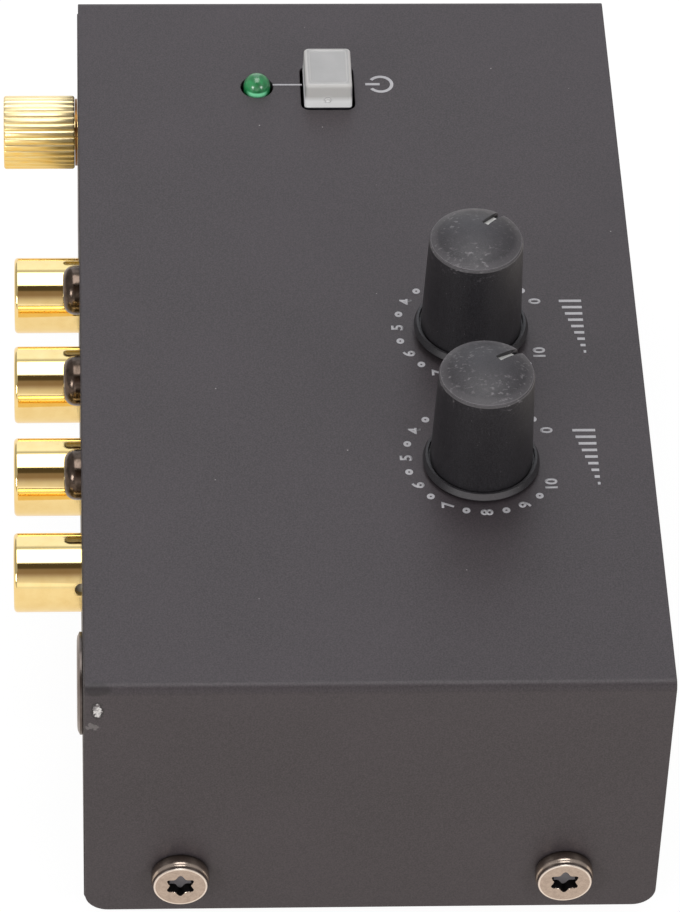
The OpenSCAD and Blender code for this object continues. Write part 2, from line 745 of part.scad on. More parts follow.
module dc_jack_body() {
    flange_r = inlet_nut_d / 2;
    neck_recess = 0.1;
    color("#202022") difference() {
        union() {
            rod_y(inlet_x, jack_z, panel_in_y - cut, cut + sheet_t + inlet_nut_h - neck_recess, inlet_thread_r);
            rod_y(inlet_x, jack_z, panel_in_y - inlet_body_l, inlet_body_l, flange_r);
        }
        rod_y(inlet_x, jack_z, panel_in_y - inlet_body_l + inlet_back, 2 * inlet_body_l, inlet_bore_d / 2);
        rod_y(inlet_x, jack_z, panel_in_y - inlet_body_l - cut, inlet_back + 2 * cut, inlet_pin_d / 2);
    }
}

// Low round nut with a shallow crowned face
module dc_jack_nut() {
    rim_h = inlet_nut_h * 0.55;
    crown_h = inlet_nut_h * 0.9;
    r = inlet_nut_d / 2;
    land = inlet_thread_r + 0.4;
    edge = 0.1;
    color("#b9b4ae") turn_y(inlet_x, jack_z, panel_y) polygon([[inlet_thread_r, 0], [r - edge, 0], [r, edge],
        [r, rim_h], [(r + land) / 2, crown_h], [land, inlet_nut_h], [inlet_thread_r, inlet_nut_h]]);
}

module dc_jack_pin() {
    tip = 1;
    tail_l = 2;
    color("silver") union() {
        rod_y(inlet_x, jack_z, panel_in_y - inlet_body_l - tail_l, inlet_body_l + tail_l - tip, inlet_pin_d / 2);
        turn_y(inlet_x, jack_z, panel_in_y - tip) intersection() {
            circle(inlet_pin_d / 2);
            square(inlet_pin_d);
        }
    }
}

// Two insulated wires from the inlet to the header
module dc_wires() {
    tag_side = 3.6;
    tag_drop = 2;
    straight = 4;
    arch_up = 3;
    start = [tag_side, panel_in_y - inlet_body_l, jack_z - tag_drop];
    arch = start[2] + arch_up;
    color("red") for (side = [-1, 1]) let (x0 = inlet_x + side * start[0], x1 = header_at[0] + side * header_pitch / 2)
        tube(smooth([[x0, start[1], start[2]], [x0, start[1] - straight, start[2]], [x1, header_at[1], arch],
            [x1, header_at[1], board_top + header_size[2]]], 4), wire_r, 8, [1, 0, 0]);
}

// Latched header housing, with a slot at each end for the latch
module wire_header() {
    latch = [0.9, 2, header_size[2] - 1];
    color("#e8e4d8") translate([header_at[0], header_at[1], board_top]) difference() {
        translate([-header_size[0] / 2, -header_size[1] / 2, 0]) cube(header_size);
        for (side = [0, 1]) mirror([side, 0, 0])
            translate([header_size[0] / 2 - latch[0], -latch[1] / 2, header_size[2] - latch[2]]) cube(latch + [cut, 0, cut]);
    }
}

module header_pins() {
    color("silver") leads(header_pin_at, board_top);
}

// ---- potentiometers ----

module pot_housing(x) {
    corner_r = 1;
    color("#2d4f86") translate([x, controls_y, board_top]) difference() {
        linear_extrude(pot_h) round_rect(pot_side, pot_side, corner_r);
        translate([0, 0, pot_floor_t]) cylinder(r = cavity_r, h = pot_h - pot_floor_t - pot_lid_t);
        translate([0, 0, pot_h / 2]) cylinder(r = bushing_r, h = pot_h);
    }
}

module pot_bushing(x) {
    color("silver") translate([x, controls_y, pot_top - pot_lid_t]) difference() {
        cylinder(r = bushing_r, h = bushing_l + pot_lid_t);
        translate([0, 0, -cut]) cylinder(r = shaft_d / 2 + running_gap, h = bushing_l + pot_lid_t + 2 * cut);
    }
}

// Two carbon track wafers, one over each wiper
module pot_tracks(x) {
    color("#3a2a1c") for (z = [wiper_z1, wiper_z2])
        translate([x, controls_y, z + wiper_t + wiper_gap]) difference() {
            cylinder(r = cavity_r, h = wafer_t);
            translate([0, 0, -cut]) cylinder(r = journal_r + moving_gap, h = wafer_t + 2 * cut);
        }
}

module pot_pins(places) {
    color("silver") leads(places, board_top);
}

// Shaft: journal through the wafers, thrust collar under the bushing, knurled and split end
module control_shaft(x, gap) {
    foot_z = board_top + pot_floor_t + moving_gap;
    collar_z = wiper_z2 + wiper_t + wiper_gap + wafer_t + moving_gap;
    collar_top = pot_top - pot_lid_t - moving_gap;
    collar_step = 0.8;
    shaft_top = top_z + gap + knob_bore_l;
    split = [shaft_d + cut, 1, 5];
    color("gainsboro") translate([x, controls_y, 0]) difference() {
        union() {
            translate([0, 0, foot_z]) cylinder(r = journal_r, h = collar_z - foot_z);
            translate([0, 0, collar_z]) cylinder(r = shaft_d / 2 + collar_step, h = collar_top - collar_z);
            translate([0, 0, collar_top]) cylinder(r = shaft_d / 2, h = shaft_top - collar_top);
        }
        translate([-split[0] / 2, -split[1] / 2, shaft_top - split[2]]) cube(split);
    }
}

// Rotors pressed on the journal, each with a contact arm that reaches towards its track
module wipers(x) {
    rim_gap = 0.5;
    arm = [cavity_r - rim_gap - journal_r, 1.6, 0.25];
    color("#c9b27a") for (z = [wiper_z1, wiper_z2]) translate([x, controls_y, z]) difference() {
        union() {
            cylinder(r = cavity_r - rim_gap, h = wiper_t - arm[2]);
            translate([journal_r - wiper_gap, -arm[1] / 2, 0]) cube([arm[0], arm[1], wiper_t]);
        }
        translate([0, 0, -cut]) cylinder(r = journal_r, h = wiper_t + 2 * cut);
    }
}

// ---- knobs ----

// Slope of the pointer's notch, along the dome from its inner end to the rim
notch_w = 0.8;
notch_depth = 0.55;
notch_in = 1.4;
dome_sphere_r = (pow(knob_top_d / 2, 2) + pow(knob_dome, 2)) / (2 * knob_dome);
function dome_rise(q) = sqrt(dome_sphere_r * dome_sphere_r - q * q) - dome_sphere_r + knob_dome;
notch_slope = atan(dome_rise(notch_in) / (knob_top_d / 2 - notch_in));

// Places the notch's floor, at the inner end, pointing along -Y before the knob is turned
module at_notch(x, gap, angle) {
    translate([x, controls_y, top_z + gap]) rotate(angle) rotate([0, 0, -90])
        translate([notch_in, 0, knob_h + dome_rise(notch_in) - notch_depth])
            rotate([0, notch_slope, 0]) children();
}

// Half section of a knob: ring with its groove, tapered body and domed top
module knob_section() {
    ring_r = knob_ring_d / 2;
    base_r = knob_base_d / 2;
    top_r = knob_top_d / 2;
    ring_h = 0.8;
    ring_land = 0.25;
    ring_slope = 0.27;
    ring_edge = 0.15;
    ring_ease = 0.06;
    groove_z = 0.4;
    groove_w = ring_r - ring_slope - ring_land - base_r;
    edge_r = 0.25;
    polygon([[0, 0], [ring_r - ring_ease, 0], [ring_r, ring_edge], [ring_r - ring_slope, ring_h],
        [base_r + groove_w, ring_h], [base_r + groove_w, groove_z], [base_r, groove_z], [top_r, knob_h - edge_r],
        [top_r - edge_r * 0.3, knob_h - edge_r * 0.3], [top_r - edge_r, knob_h], [0, knob_h]]);
    intersection() {
        translate([0, knob_h + knob_dome - dome_sphere_r]) circle(dome_sphere_r, $fn = 200);
        translate([0, knob_h - edge_r]) square([top_r - edge_r * 0.6, knob_dome + edge_r]);
    }
}

module knob(x, gap, angle) {
    recess_r = knob_base_d / 2 - 1;
    recess_h = 1;
    color("#222224") difference() {
        translate([x, controls_y, top_z + gap]) difference() {
            rotate_extrude() knob_section();
            translate([0, 0, -cut]) cylinder(r = shaft_d / 2, h = knob_bore_l + cut);
            translate([0, 0, -cut]) cylinder(r = recess_r, h = recess_h + cut);
        }
        at_notch(x, gap, angle) translate([0, -notch_w / 2, 0]) cube([knob_top_d, notch_w, 2]);
    }
}

// White strip on the floor of the notch
module pointer(x, gap, angle) {
    strip_t = 0.2;
    rim_gap = 0.85;
    strip_l = knob_top_d / 2 - notch_in - rim_gap;
    color("white") at_notch(x, gap, angle) translate([0, -notch_w / 2, 0]) cube([strip_l, notch_w, strip_t]);
}

module volume_pot_housing() { pot_housing(volume_x); }
module volume_pot_bushing() { pot_bushing(volume_x); }
module volume_pot_tracks() { pot_tracks(volume_x); }
module volume_pot_pins() { pot_pins(volume_pin_at); }
module volume_shaft() { control_shaft(volume_x, volume_gap); }
module volume_wipers() { wipers(volume_x); }
module volume_knob() { knob(volume_x, volume_gap, volume_angle); }
module volume_pointer() { pointer(volume_x, volume_gap, volume_angle); }
module level_pot_housing() { pot_housing(level_x); }
module level_pot_bushing() { pot_bushing(level_x); }
module level_pot_tracks() { pot_tracks(level_x); }
module level_pot_pins() { pot_pins(level_pin_at); }
module level_shaft() { control_shaft(level_x, level_gap); }
module level_wipers() { wipers(level_x); }
module level_knob() { knob(level_x, level_gap, level_angle); }
module level_pointer() { pointer(level_x, level_gap, level_angle); }

// ---- power switch and lamp ----

// Plunger head inside the switch: it rests under the lid and moves down by the travel
head_w = switch_side - 2 * switch_wall - 2 * moving_gap;
head_t = 1.6;
head_top = board_top + switch_h - switch_wall - moving_gap;
spring_z = board_top + switch_wall;
spring_top = head_top - head_t;

module switch_housing() {
    inner = switch_side - 2 * switch_wall;
    stem_hole = stem_w + 2 * moving_gap;
    color("#2a2a2c") translate([button_x, button_y, board_top]) difference() {
        translate([-switch_side / 2, -switch_side / 2, 0]) cube([switch_side, switch_side, switch_h]);
        translate([-inner / 2, -inner / 2, switch_wall]) cube([inner, inner, switch_h - 2 * switch_wall]);
        translate([-stem_hole / 2, -stem_hole / 2, switch_wall + cut]) cube([stem_hole, stem_hole, switch_h]);
    }
}

module switch_plunger() {
    stem_top = button_bottom + button_socket_l;
    guide_r = 1;
    guide_l = spring_top - spring_z - button_travel - moving_gap;
    color("white") translate([button_x, button_y, 0]) {
        translate([-head_w / 2, -head_w / 2, spring_top]) cube([head_w, head_w, head_t]);
        translate([-stem_w / 2, -stem_w / 2, spring_top]) cube([stem_w, stem_w, stem_top - spring_top]);
        translate([0, 0, spring_top - guide_l]) cylinder(r = guide_r, h = guide_l + head_t / 2);
    }
}

// Return spring round the plunger's guide
module switch_spring() {
    spring_wire_r = 0.2;
    turns = 6;
    steps = 14;
    coil_r = 1.9;
    seat = 0.02;
    rise = spring_top - spring_z - 2 * (spring_wire_r + seat);
    color("silver") translate([button_x, button_y, spring_z + spring_wire_r + seat])
        tube([for (i = [0:turns * steps]) let (a = 360 * i / steps)
            [coil_r * cos(a), coil_r * sin(a), rise * i / (turns * steps)]], spring_wire_r, 6, [0, 0, 1]);
}

module switch_pins() {
    color("silver") leads(switch_pin_at, board_top);
}

// Cap pushed onto the plunger's stem, narrower at the top, with a rounded crown
module button_cap() {
    taper = 0.12;
    crown = 0.5;
    steps = 4;
    color("#a9aaa8") translate([button_x, button_y, button_bottom]) difference() {
        hull() {
            linear_extrude(0.01) round_rect(button_l, button_w, button_r, $fn = 32);
            for (i = [0:steps]) let (a = 90 * i / steps, shrink = 2 * taper + 2 * crown * (1 - cos(a)))
                translate([0, 0, button_h - crown + (crown - 0.01) * sin(a)]) linear_extrude(0.01)
                    round_rect(button_l - shrink, button_w - shrink, button_r, $fn = 32);
        }
        translate([-stem_w / 2, -stem_w / 2, -cut]) cube([stem_w, stem_w, button_socket_l + cut]);
    }
}

module led_lens() {
    r = lamp_d / 2;
    flange_r = r + lamp_gap;
    color("#2f9a5a") translate([lamp_x, lamp_y, lamp_flange_z]) rotate_extrude() {
        square([flange_r, lamp_flange_h]);
        square([r, lamp_flange_h + lamp_body_l]);
        translate([0, lamp_flange_h + lamp_body_l]) intersection() {
            circle(r);
            translate([0, -r]) square([r, 2 * r]);
        }
    }
}

module led_leads() {
    side = 0.46;
    color("silver") for (p = lamp_lead_at) translate([p[0] - side / 2, p[1] - side / 2, lead_end_z])
        cube([side, side, lamp_flange_z - lead_end_z]);
}

// ---- parts on the board ----

module opamp_bodies() {
    notch_r = 0.9;
    notch_l = 0.6;
    color("#1a1a1c") for (p = opamp_at) translate([p[0], p[1], board_top + dip_lift]) difference() {
        translate([-dip_size[0] / 2, -dip_size[1] / 2, 0]) cube(dip_size);
        translate([-dip_size[0] / 2, 0, dip_size[2] - notch_l]) cylinder(r = notch_r, h = notch_l + cut);
    }
}

// Legs leave the body's sides, turn down and pass through the board
module opamp_pins() {
    shoulder_z = board_top + dip_lift + dip_size[2] / 2;
    shoulder = [1.2, dip_row / 2 + lead_r - dip_size[1] / 2, 0.3];
    color("silver") {
        leads(dip_pin_at, shoulder_z);
        for (p = opamp_at, i = [-1.5:1.5], side = [0, 1]) translate([p[0] + i * dip_pitch, p[1], shoulder_z])
            mirror([0, side, 0]) translate([-shoulder[0] / 2, dip_size[1] / 2, -shoulder[2]]) cube(shoulder);
    }
}

// Sleeved cans with a rolled neck over the seal
module electrolytic_caps() {
    edge = 0.25;
    neck_z = 1.7;
    color("#20242e") for (p = cap_at) translate([p[0], p[1], board_top]) rotate_extrude()
        polygon([[0, 0], [cap_r - edge, 0], [cap_r, edge], [cap_r, neck_z - edge], [cap_r - edge, neck_z],
            [cap_r, neck_z + edge], [cap_r, cap_h - edge], [cap_r - edge, cap_h], [0, cap_h]]);
}

module film_caps() {
    color("#a33527") for (p = film_at)
        translate([p[0] - film_size[0] / 2, p[1] - film_size[1] / 2, board_top]) cube(film_size);
}

module capacitor_leads() {
    color("silver") leads(concat(cap_lead_at, film_lead_at), board_top);
}

// Waisted bodies, thicker over the end caps
module resistor_bodies() {
    edge = 0.2;
    cap_l = 1.5;
    waist = resistor_r - 0.15;
    l = resistor_l;
    color("#c8b48c") for (p = resistor_at)
        translate([p[0], p[1] - l / 2, board_top + resistor_r]) rotate([-90, 0, 0]) rotate_extrude()
            polygon([[0, 0], [resistor_r - edge, 0], [resistor_r, edge], [resistor_r, cap_l], [waist, cap_l + edge],
                [waist, l - cap_l - edge], [resistor_r, l - cap_l], [resistor_r, l - edge],
                [resistor_r - edge, l], [0, l]]);
}

module resistor_leads() {
    span = (resistor_lead_pitch - resistor_l) / 2;
    lead_z = board_top + resistor_r;
    color("silver") {
        leads(resistor_lead_at, lead_z);
        for (p = resistor_at, side = [0, 1]) translate([p[0], p[1], lead_z]) mirror([0, side, 0]) {
            translate([0, resistor_l / 2, 0]) rotate([-90, 0, 0]) cylinder(r = lead_r, h = span, $fn = 24);
            translate([0, resistor_lead_pitch / 2, 0]) sphere(lead_r, $fn = 24);
        }
    }
}

// Small three-legged regulator with one flat side
module regulator() {
    r = 2.3;
    h = 4.6;
    flat = 1;
    color("#1a1a1c") translate([regulator_at[0], regulator_at[1], board_top + regulator_lift]) difference() {
        cylinder(r = r, h = h);
        translate([-r - cut, -r - cut, -cut]) cube([2 * r + 2 * cut, flat + cut, h + 2 * cut]);
    }
}

module regulator_leads() {
    color("silver") leads(regulator_lead_at, board_top + regulator_lift);
}

in_frame() chassis();
in_frame() top_cover();
in_frame() cover_screws();
in_frame() rubber_feet();
in_frame() circuit_board();
in_frame() board_standoffs();
in_frame() board_screws();
in_frame() standoff_screws();
in_frame() rca_block();
in_frame() rca_shells();
in_frame() rca_insulators();
in_frame() rca_contacts();
in_frame() rca_screws();
in_frame() ground_post();
in_frame() ground_lug();
in_frame() ground_wire();
in_frame() ground_washer();
in_frame() ground_nut();
in_frame() dc_jack_body();
in_frame() dc_jack_nut();
in_frame() dc_jack_pin();
in_frame() dc_wires();
in_frame() wire_header();
in_frame() header_pins();
in_frame() volume_pot_housing();
in_frame() volume_pot_bushing();
in_frame() volume_pot_tracks();
in_frame() volume_pot_pins();
in_frame() volume_shaft();
in_frame() volume_wipers();
in_frame() volume_knob();
in_frame() volume_pointer();
in_frame() level_pot_housing();
in_frame() level_pot_bushing();
in_frame() level_pot_tracks();
in_frame() level_pot_pins();
in_frame() level_shaft();
in_frame() level_wipers();
in_frame() level_knob();
in_frame() level_pointer();
in_frame() switch_housing();
in_frame() switch_plunger();
in_frame() switch_spring();
in_frame() switch_pins();
in_frame() button_cap();
in_frame() led_lens();
in_frame() led_leads();
in_frame() opamp_bodies();
in_frame() opamp_pins();
in_frame() electrolytic_caps();
in_frame() film_caps();
in_frame() capacitor_leads();
in_frame() resistor_bodies();
in_frame() resistor_leads();
in_frame() regulator();
in_frame() regulator_leads();
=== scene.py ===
import bpy, bmesh
from math import cos, pi, radians, sin
from mathutils import Matrix, Quaternion, Vector


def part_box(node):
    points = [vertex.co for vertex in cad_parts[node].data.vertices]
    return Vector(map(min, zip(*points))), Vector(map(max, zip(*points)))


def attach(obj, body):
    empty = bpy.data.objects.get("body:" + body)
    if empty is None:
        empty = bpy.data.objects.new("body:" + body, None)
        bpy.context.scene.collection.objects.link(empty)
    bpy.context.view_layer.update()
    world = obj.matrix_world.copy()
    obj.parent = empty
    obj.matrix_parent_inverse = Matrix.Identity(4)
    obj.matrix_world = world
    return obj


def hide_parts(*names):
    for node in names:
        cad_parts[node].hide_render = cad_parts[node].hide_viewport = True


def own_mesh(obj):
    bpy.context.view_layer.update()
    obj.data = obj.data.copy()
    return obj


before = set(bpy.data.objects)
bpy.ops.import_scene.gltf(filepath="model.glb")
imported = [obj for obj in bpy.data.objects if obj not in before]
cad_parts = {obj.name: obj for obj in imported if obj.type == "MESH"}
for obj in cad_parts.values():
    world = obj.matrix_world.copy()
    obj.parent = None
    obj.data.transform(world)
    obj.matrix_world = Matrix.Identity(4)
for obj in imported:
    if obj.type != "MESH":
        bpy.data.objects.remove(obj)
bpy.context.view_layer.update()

# ---- Camera -------------------------------------------------------------------------------------
# A long lens looks along the case from its near end, 45 degrees down and turned a little towards
# the front, so that the top, the near end and the sides of the sockets all show.
camera_at = Vector((-0.43203, 0.027655, 0.44767))
camera_forward = Vector((0.7064, -0.0496, -0.7061))
camera_roll = radians(2.493)
camera_data = bpy.data.cameras.new("catalogue_camera")
camera_data.lens = 220.85
camera_data.sensor_width = 36
camera = bpy.data.objects.new("catalogue_camera", camera_data)
bpy.context.scene.collection.objects.link(camera)
camera.rotation_mode = "QUATERNION"
camera.rotation_quaternion = camera_forward.to_track_quat("-Z", "Y") @ Quaternion((0, 0, 1), camera_roll)
camera.location = camera_at
bpy.context.scene.camera = camera
bpy.context.scene.view_settings.view_transform = "Standard"


# ---- Studio -------------------------------------------------------------------------------------
# A white table under a large softbox, with two small softboxes in front. A long light panel over
# the table and a dark ceiling on the camera's side give polished metal its white and brown bands.
def add(owner, kind, values={}, links={}):
    """Adds a node with its settings (lower case), its sockets' values and its links."""
    node = owner.node_tree.nodes.new("ShaderNode" + kind)
    for name, value in values.items():
        if isinstance(name, str) and name[0].islower():
            setattr(node, name, value)
        else:
            node.inputs[name].default_value = value
    for name, source in links.items():
        owner.node_tree.links.new(source, node.inputs[name])
    return node


def srgb(code):
    """A colour written as sRGB hex, as the linear values that Blender takes."""
    parts = [int(code[i:i + 2], 16) / 255 for i in (1, 3, 5)]
    return [c / 12.92 if c <= 0.04045 else ((c + 0.055) / 1.055) ** 2.4 for c in parts] + [1]


def empty_tree(owner):
    """Gives a material or the world a tree of nodes with nothing in it yet."""
    owner.use_nodes = True
    owner.node_tree.nodes.clear()
    return owner


def seen_directly(owner):
    """1 for rays from the camera, off metal and through glass, 0 for light on matt surfaces."""
    path = add(owner, "LightPath")
    shiny = add(owner, "Math", {"operation": "MAXIMUM"},
                {0: path.outputs["Is Glossy Ray"], 1: path.outputs["Is Transmission Ray"]})
    direct = add(owner, "Math", {"operation": "MAXIMUM"},
                 {0: path.outputs["Is Camera Ray"], 1: shiny.outputs[0]})
    return path, direct


world = empty_tree(bpy.data.worlds.new("white_studio"))
bpy.context.scene.world = world
# Tones round the room by angle in degrees: under the table up to 0, the far end at 0, the zenith at
# 90 and the camera's end at 180. The ramp holds them as shares of the brightest. The walls on the
# left and right are one grey.
brightest = 4.0
walls = [(-180, 0.95, 0.95, 0.95), (-1, 1, 1, 1), (4, 1.05, 1.08, 1.12), (48, 1.1, 1.16, 1.25),
         (54, 0.6, 0.6, 0.62), (60, 0.6, 0.6, 0.62), (65, 3.6, 3.6, 3.6), (103, 3.6, 3.6, 3.6),
         (107, 0.07, 0.055, 0.04), (121, 0.08, 0.06, 0.04), (125, 0.24, 0.18, 0.14),
         (136, 0.26, 0.19, 0.15), (143, 0.42, 0.35, 0.33), (150, 0.62, 0.56, 0.53),
         (160, 0.8, 0.74, 0.72), (166, 1.15, 1.12, 1.1), (173, 1.15, 1.12, 1.1),
         (178, 0.85, 0.82, 0.8), (180, 0.95, 0.95, 0.95)]
side_wall = (0.42, 0.41, 0.41, 1)
side_wall_from, side_wall_full = 0.22, 0.34
light_from_below, light_from_above = 0.5, 0.6
direction = add(world, "SeparateXYZ", links={0: add(world, "TexCoord").outputs["Generated"]})
height_angle = add(world, "Math", {"operation": "ARCTAN2"},
                   {0: direction.outputs["Z"], 1: direction.outputs["X"]})
round_room = add(world, "MapRange", {"From Min": -pi, "From Max": pi}, {"Value": height_angle.outputs[0]})
wall_tones = add(world, "ValToRGB", links={0: round_room.outputs[0]})
ramp = wall_tones.color_ramp
ramp.elements.remove(ramp.elements[1])
for i, (degrees, *tone) in enumerate(walls):
    stop = ramp.elements[0] if i == 0 else ramp.elements.new((degrees + 180) / 360)
    stop.position = (degrees + 180) / 360
    stop.color = [part / brightest for part in tone] + [1]
wall_light = add(world, "VectorMath", {"operation": "SCALE", "Scale": brightest},
                 {0: wall_tones.outputs[0]})
sideways = add(world, "Math", {"operation": "ABSOLUTE"}, {0: direction.outputs["Y"]})
side_share = add(world, "MapRange", {"From Min": side_wall_from, "From Max": side_wall_full},
                 {"Value": sideways.outputs[0]})
room = add(world, "Mix", {"data_type": "RGBA", 7: side_wall},
           {0: side_share.outputs[0], 6: wall_light.outputs[0]})
matt_light = add(world, "MapRange", {"From Min": -1, "From Max": 1,
                                     "To Min": light_from_below, "To Max": light_from_above},
                 {"Value": direction.outputs["Z"]})
path, direct = seen_directly(world)
lit = add(world, "Mix", {"data_type": "RGBA"},
          {0: direct.outputs[0], 6: matt_light.outputs[0], 7: room.outputs[2]})
shown = add(world, "Mix", {"data_type": "RGBA", 7: (1, 1, 1, 1)},
            {0: path.outputs["Is Camera Ray"], 6: lit.outputs[2]})
background = add(world, "Background", links={"Color": shown.outputs[2]})
add(world, "OutputWorld", links={"Surface": background.outputs[0]})


def softbox(name, at, aim, wide, high, watts, on_metal):
    """A rectangular lamp that points at a place. Polished metal mirrors it where on_metal is true."""
    light = bpy.data.lights.new(name, "AREA")
    light.shape = "RECTANGLE"
    light.size, light.size_y = wide, high
    light.energy = watts
    lamp = bpy.data.objects.new(name, light)
    bpy.context.scene.collection.objects.link(lamp)
    lamp.location = at
    lamp.rotation_mode = "QUATERNION"
    lamp.rotation_quaternion = (Vector(aim) - Vector(at)).to_track_quat("-Z", "Y")
    lamp.visible_glossy = on_metal


softbox("softbox_over", at=(0.16, 0.03, 0.3), aim=(0.02, 0, 0.03), wide=0.16, high=0.2, watts=0.31,
        on_metal=False)
softbox("softbox_left", at=(-0.5, 0.46, 0.3), aim=(0, 0, 0.03), wide=0.2, high=0.24, watts=1.36,
        on_metal=True)
softbox("softbox_right", at=(-0.5, -0.44, 0.34), aim=(0, 0, 0.03), wide=0.18, high=0.22, watts=1.09,
        on_metal=True)

# The table's white paper looks a little brighter than it is lit, and creamy where metal mirrors it.
table_mesh = bpy.data.meshes.new("table")
table_half = 3.0
table_mesh.from_pydata([(x, y, 0) for x, y in ((-table_half, -table_half), (table_half, -table_half),
                                               (table_half, table_half), (-table_half, table_half))],
                       [], [(0, 1, 2, 3)])
glow_strength, glow_share, cream = 1.09, 0.86, (0.94, 0.86, 0.79, 1)
table = bpy.data.objects.new("table", table_mesh)
bpy.context.scene.collection.objects.link(table)
paper = empty_tree(bpy.data.materials.new("white_paper"))
matt_paper = add(paper, "BsdfDiffuse", {"Color": srgb("#e0e0e0")})
bright_paper = add(paper, "Emission", {"Strength": glow_strength})
path, direct = seen_directly(paper)
creamy = add(paper, "Mix", {"data_type": "RGBA", 6: (1, 1, 1, 1), 7: cream},
             {0: path.outputs["Is Glossy Ray"]})
paper.node_tree.links.new(creamy.outputs[2], bright_paper.inputs["Color"])
paper_share = add(paper, "Math", {"operation": "MULTIPLY", 1: glow_share}, {0: direct.outputs[0]})
paper_mix = add(paper, "MixShader", links={0: paper_share.outputs[0], 1: matt_paper.outputs[0],
                                           2: bright_paper.outputs[0]})
add(paper, "OutputMaterial", links={"Surface": paper_mix.outputs[0]})
table_mesh.materials.append(paper)


# ---- Folded case --------------------------------------------------------------------------------
# Cover and chassis are folded from 0.8 mm steel sheet and powder coated in satin dark grey. The
# coat draws back a little at the cut edges, so they are softly rounded.
def per_mm(size):
    """Scale of a pattern whose grain is that many millimetres wide."""
    return 1000 / size


def place(material):
    """A point of the piece, in metres."""
    return add(material, "TexCoord").outputs["Object"]


def grain(material, size, detail=2.0, stretch=(1, 1, 1)):
    """A noise of that many millimetres, stretched along the axes."""
    at = add(material, "Mapping", {"Scale": stretch}, {"Vector": place(material)})
    return add(material, "TexNoise", {"Scale": per_mm(size), "Detail": detail, "Roughness": 0.55},
               {"Vector": at.outputs[0]}).outputs[0]


def between(material, source, low, high, to_low=0.0, to_high=1.0):
    """Maps low to high onto 0 to 1, or onto two other numbers, and holds at the ends."""
    ends = {"From Min": low, "From Max": high, "To Min": to_low, "To Max": to_high}
    return add(material, "MapRange", ends, {"Value": source}).outputs[0]


def blend_colours(material, share, first, second):
    """A mix of two colours, each a hex colour or another node's output."""
    values, links = {"data_type": "RGBA"}, {0: share}
    for socket, colour in ((6, first), (7, second)):
        if isinstance(colour, str):
            values[socket] = srgb(colour)
        else:
            links[socket] = colour
    return add(material, "Mix", values, links).outputs[2]


def relief(material, height, depth_mm):
    """Bump of that many millimetres from a height between 0 and 1."""
    return add(material, "Bump", {"Strength": 1.0, "Distance": depth_mm / 1000},
               {"Height": height}).outputs[0]


def finish_material(material, values, links={}):
    """Sets the shader's even values and links what varies over the surface."""
    surface = add(material, "BsdfPrincipled", values, links)
    add(material, "OutputMaterial", links={"Surface": surface.outputs[0]})
    return material


def facing(material, axis, low, high):
    """0 to 1 as the surface's direction along an axis goes from low to high."""
    normal = add(material, "NewGeometry").outputs["Normal"]
    return between(material, add(material, "SeparateXYZ", links={0: normal}).outputs[axis], low, high)


def times(material, first, second):
    """The product of a node's output and a number or another node's output."""
    values, links = {"operation": "MULTIPLY"}, {0: first}
    if isinstance(second, (int, float)):
        values[1] = second
    else:
        links[1] = second
    return add(material, "Math", values, links).outputs[0]


def specks(material, cell, size, share):
    """Small dots of dust, at most one in each cell of that many millimetres."""
    cells = add(material, "TexVoronoi", {"Scale": per_mm(cell)}, {"Vector": place(material)})
    dot = between(material, cells.outputs["Distance"], size / cell, size / cell * 0.5)
    chosen = add(material, "SeparateColor", links={0: cells.outputs["Color"]}).outputs[0]
    kept = add(material, "Math", {"operation": "LESS_THAN", 1: share}, {0: chosen}).outputs[0]
    return times(material, dot, kept)


def spot(material, at_mm, size_mm, edge_mm, ragged_mm):
    """1 within a ragged blob of that size round a place, 0 outside it."""
    centre = [c / 1000 for c in at_mm]
    size = [c / 1000 for c in size_mm]
    wobble = add(material, "TexNoise", {"Scale": per_mm(0.5), "Detail": 2.0},
                 {"Vector": place(material)}).outputs["Color"]
    shift = add(material, "VectorMath", {"operation": "MULTIPLY_ADD", 1: [ragged_mm / 1000] * 3,
                                         2: [-ragged_mm / 2000] * 3}, {0: wobble}).outputs[0]
    bent = add(material, "VectorMath", {"operation": "ADD"}, {0: place(material), 1: shift}).outputs[0]
    off = add(material, "VectorMath", {"operation": "SUBTRACT", 1: centre}, {0: bent}).outputs[0]
    scaled = add(material, "VectorMath", {"operation": "DIVIDE", 1: size}, {0: off}).outputs[0]
    away = add(material, "VectorMath", {"operation": "LENGTH"}, {0: scaled}).outputs["Value"]
    return between(material, away, 1 + edge_mm / max(size_mm), 1)


# Satin powder coat: a dark warm grey whose fine orange peel breaks up reflections, with a little
# dust that shows as pale points on the faces that look up. Its peel is 0.4 mm from wave to wave, and
# its flecks are drawn at 0.17 mm, coarser than they are, so that they show. One near corner is
# chipped to the bare metal, scuffed below and smudged above: places and half sizes in millimetres.
peel_mm, fleck_mm, patch_mm = 0.4, 0.17, 14
chip_at, chip_size, bruise_size = (-53, 24.3, 32.8), (1, 0.4, 0.95), (1, 0.62, 1.15)
scuff_at, scuff_size = (-53, 24.9, 30.5), (1, 0.7, 0.3)
smudge_at, smudge_size = (-52.9, 24.4, 35.7), (0.9, 1.2, 0.5)
powder_coat = empty_tree(bpy.data.materials.new("powder_coat_satin"))
peel = grain(powder_coat, peel_mm)
patches = between(powder_coat, grain(powder_coat, patch_mm, 3), 0.3, 0.7)
coat_grey = blend_colours(powder_coat, patches, "#2e292c", "#342e32")
flecks = between(powder_coat, grain(powder_coat, fleck_mm), 0.35, 0.7)
coat_grained = blend_colours(powder_coat, times(powder_coat, flecks, 0.62), coat_grey, "#4c4548")
dust = times(powder_coat, specks(powder_coat, cell=3.4, size=0.1, share=0.45),
             facing(powder_coat, "Z", 0.4, 0.9))
coat_dusty = blend_colours(powder_coat, times(powder_coat, dust, 0.6), coat_grained, "#b8b4b2")
scuff = spot(powder_coat, scuff_at, scuff_size, edge_mm=0.4, ragged_mm=1.2)
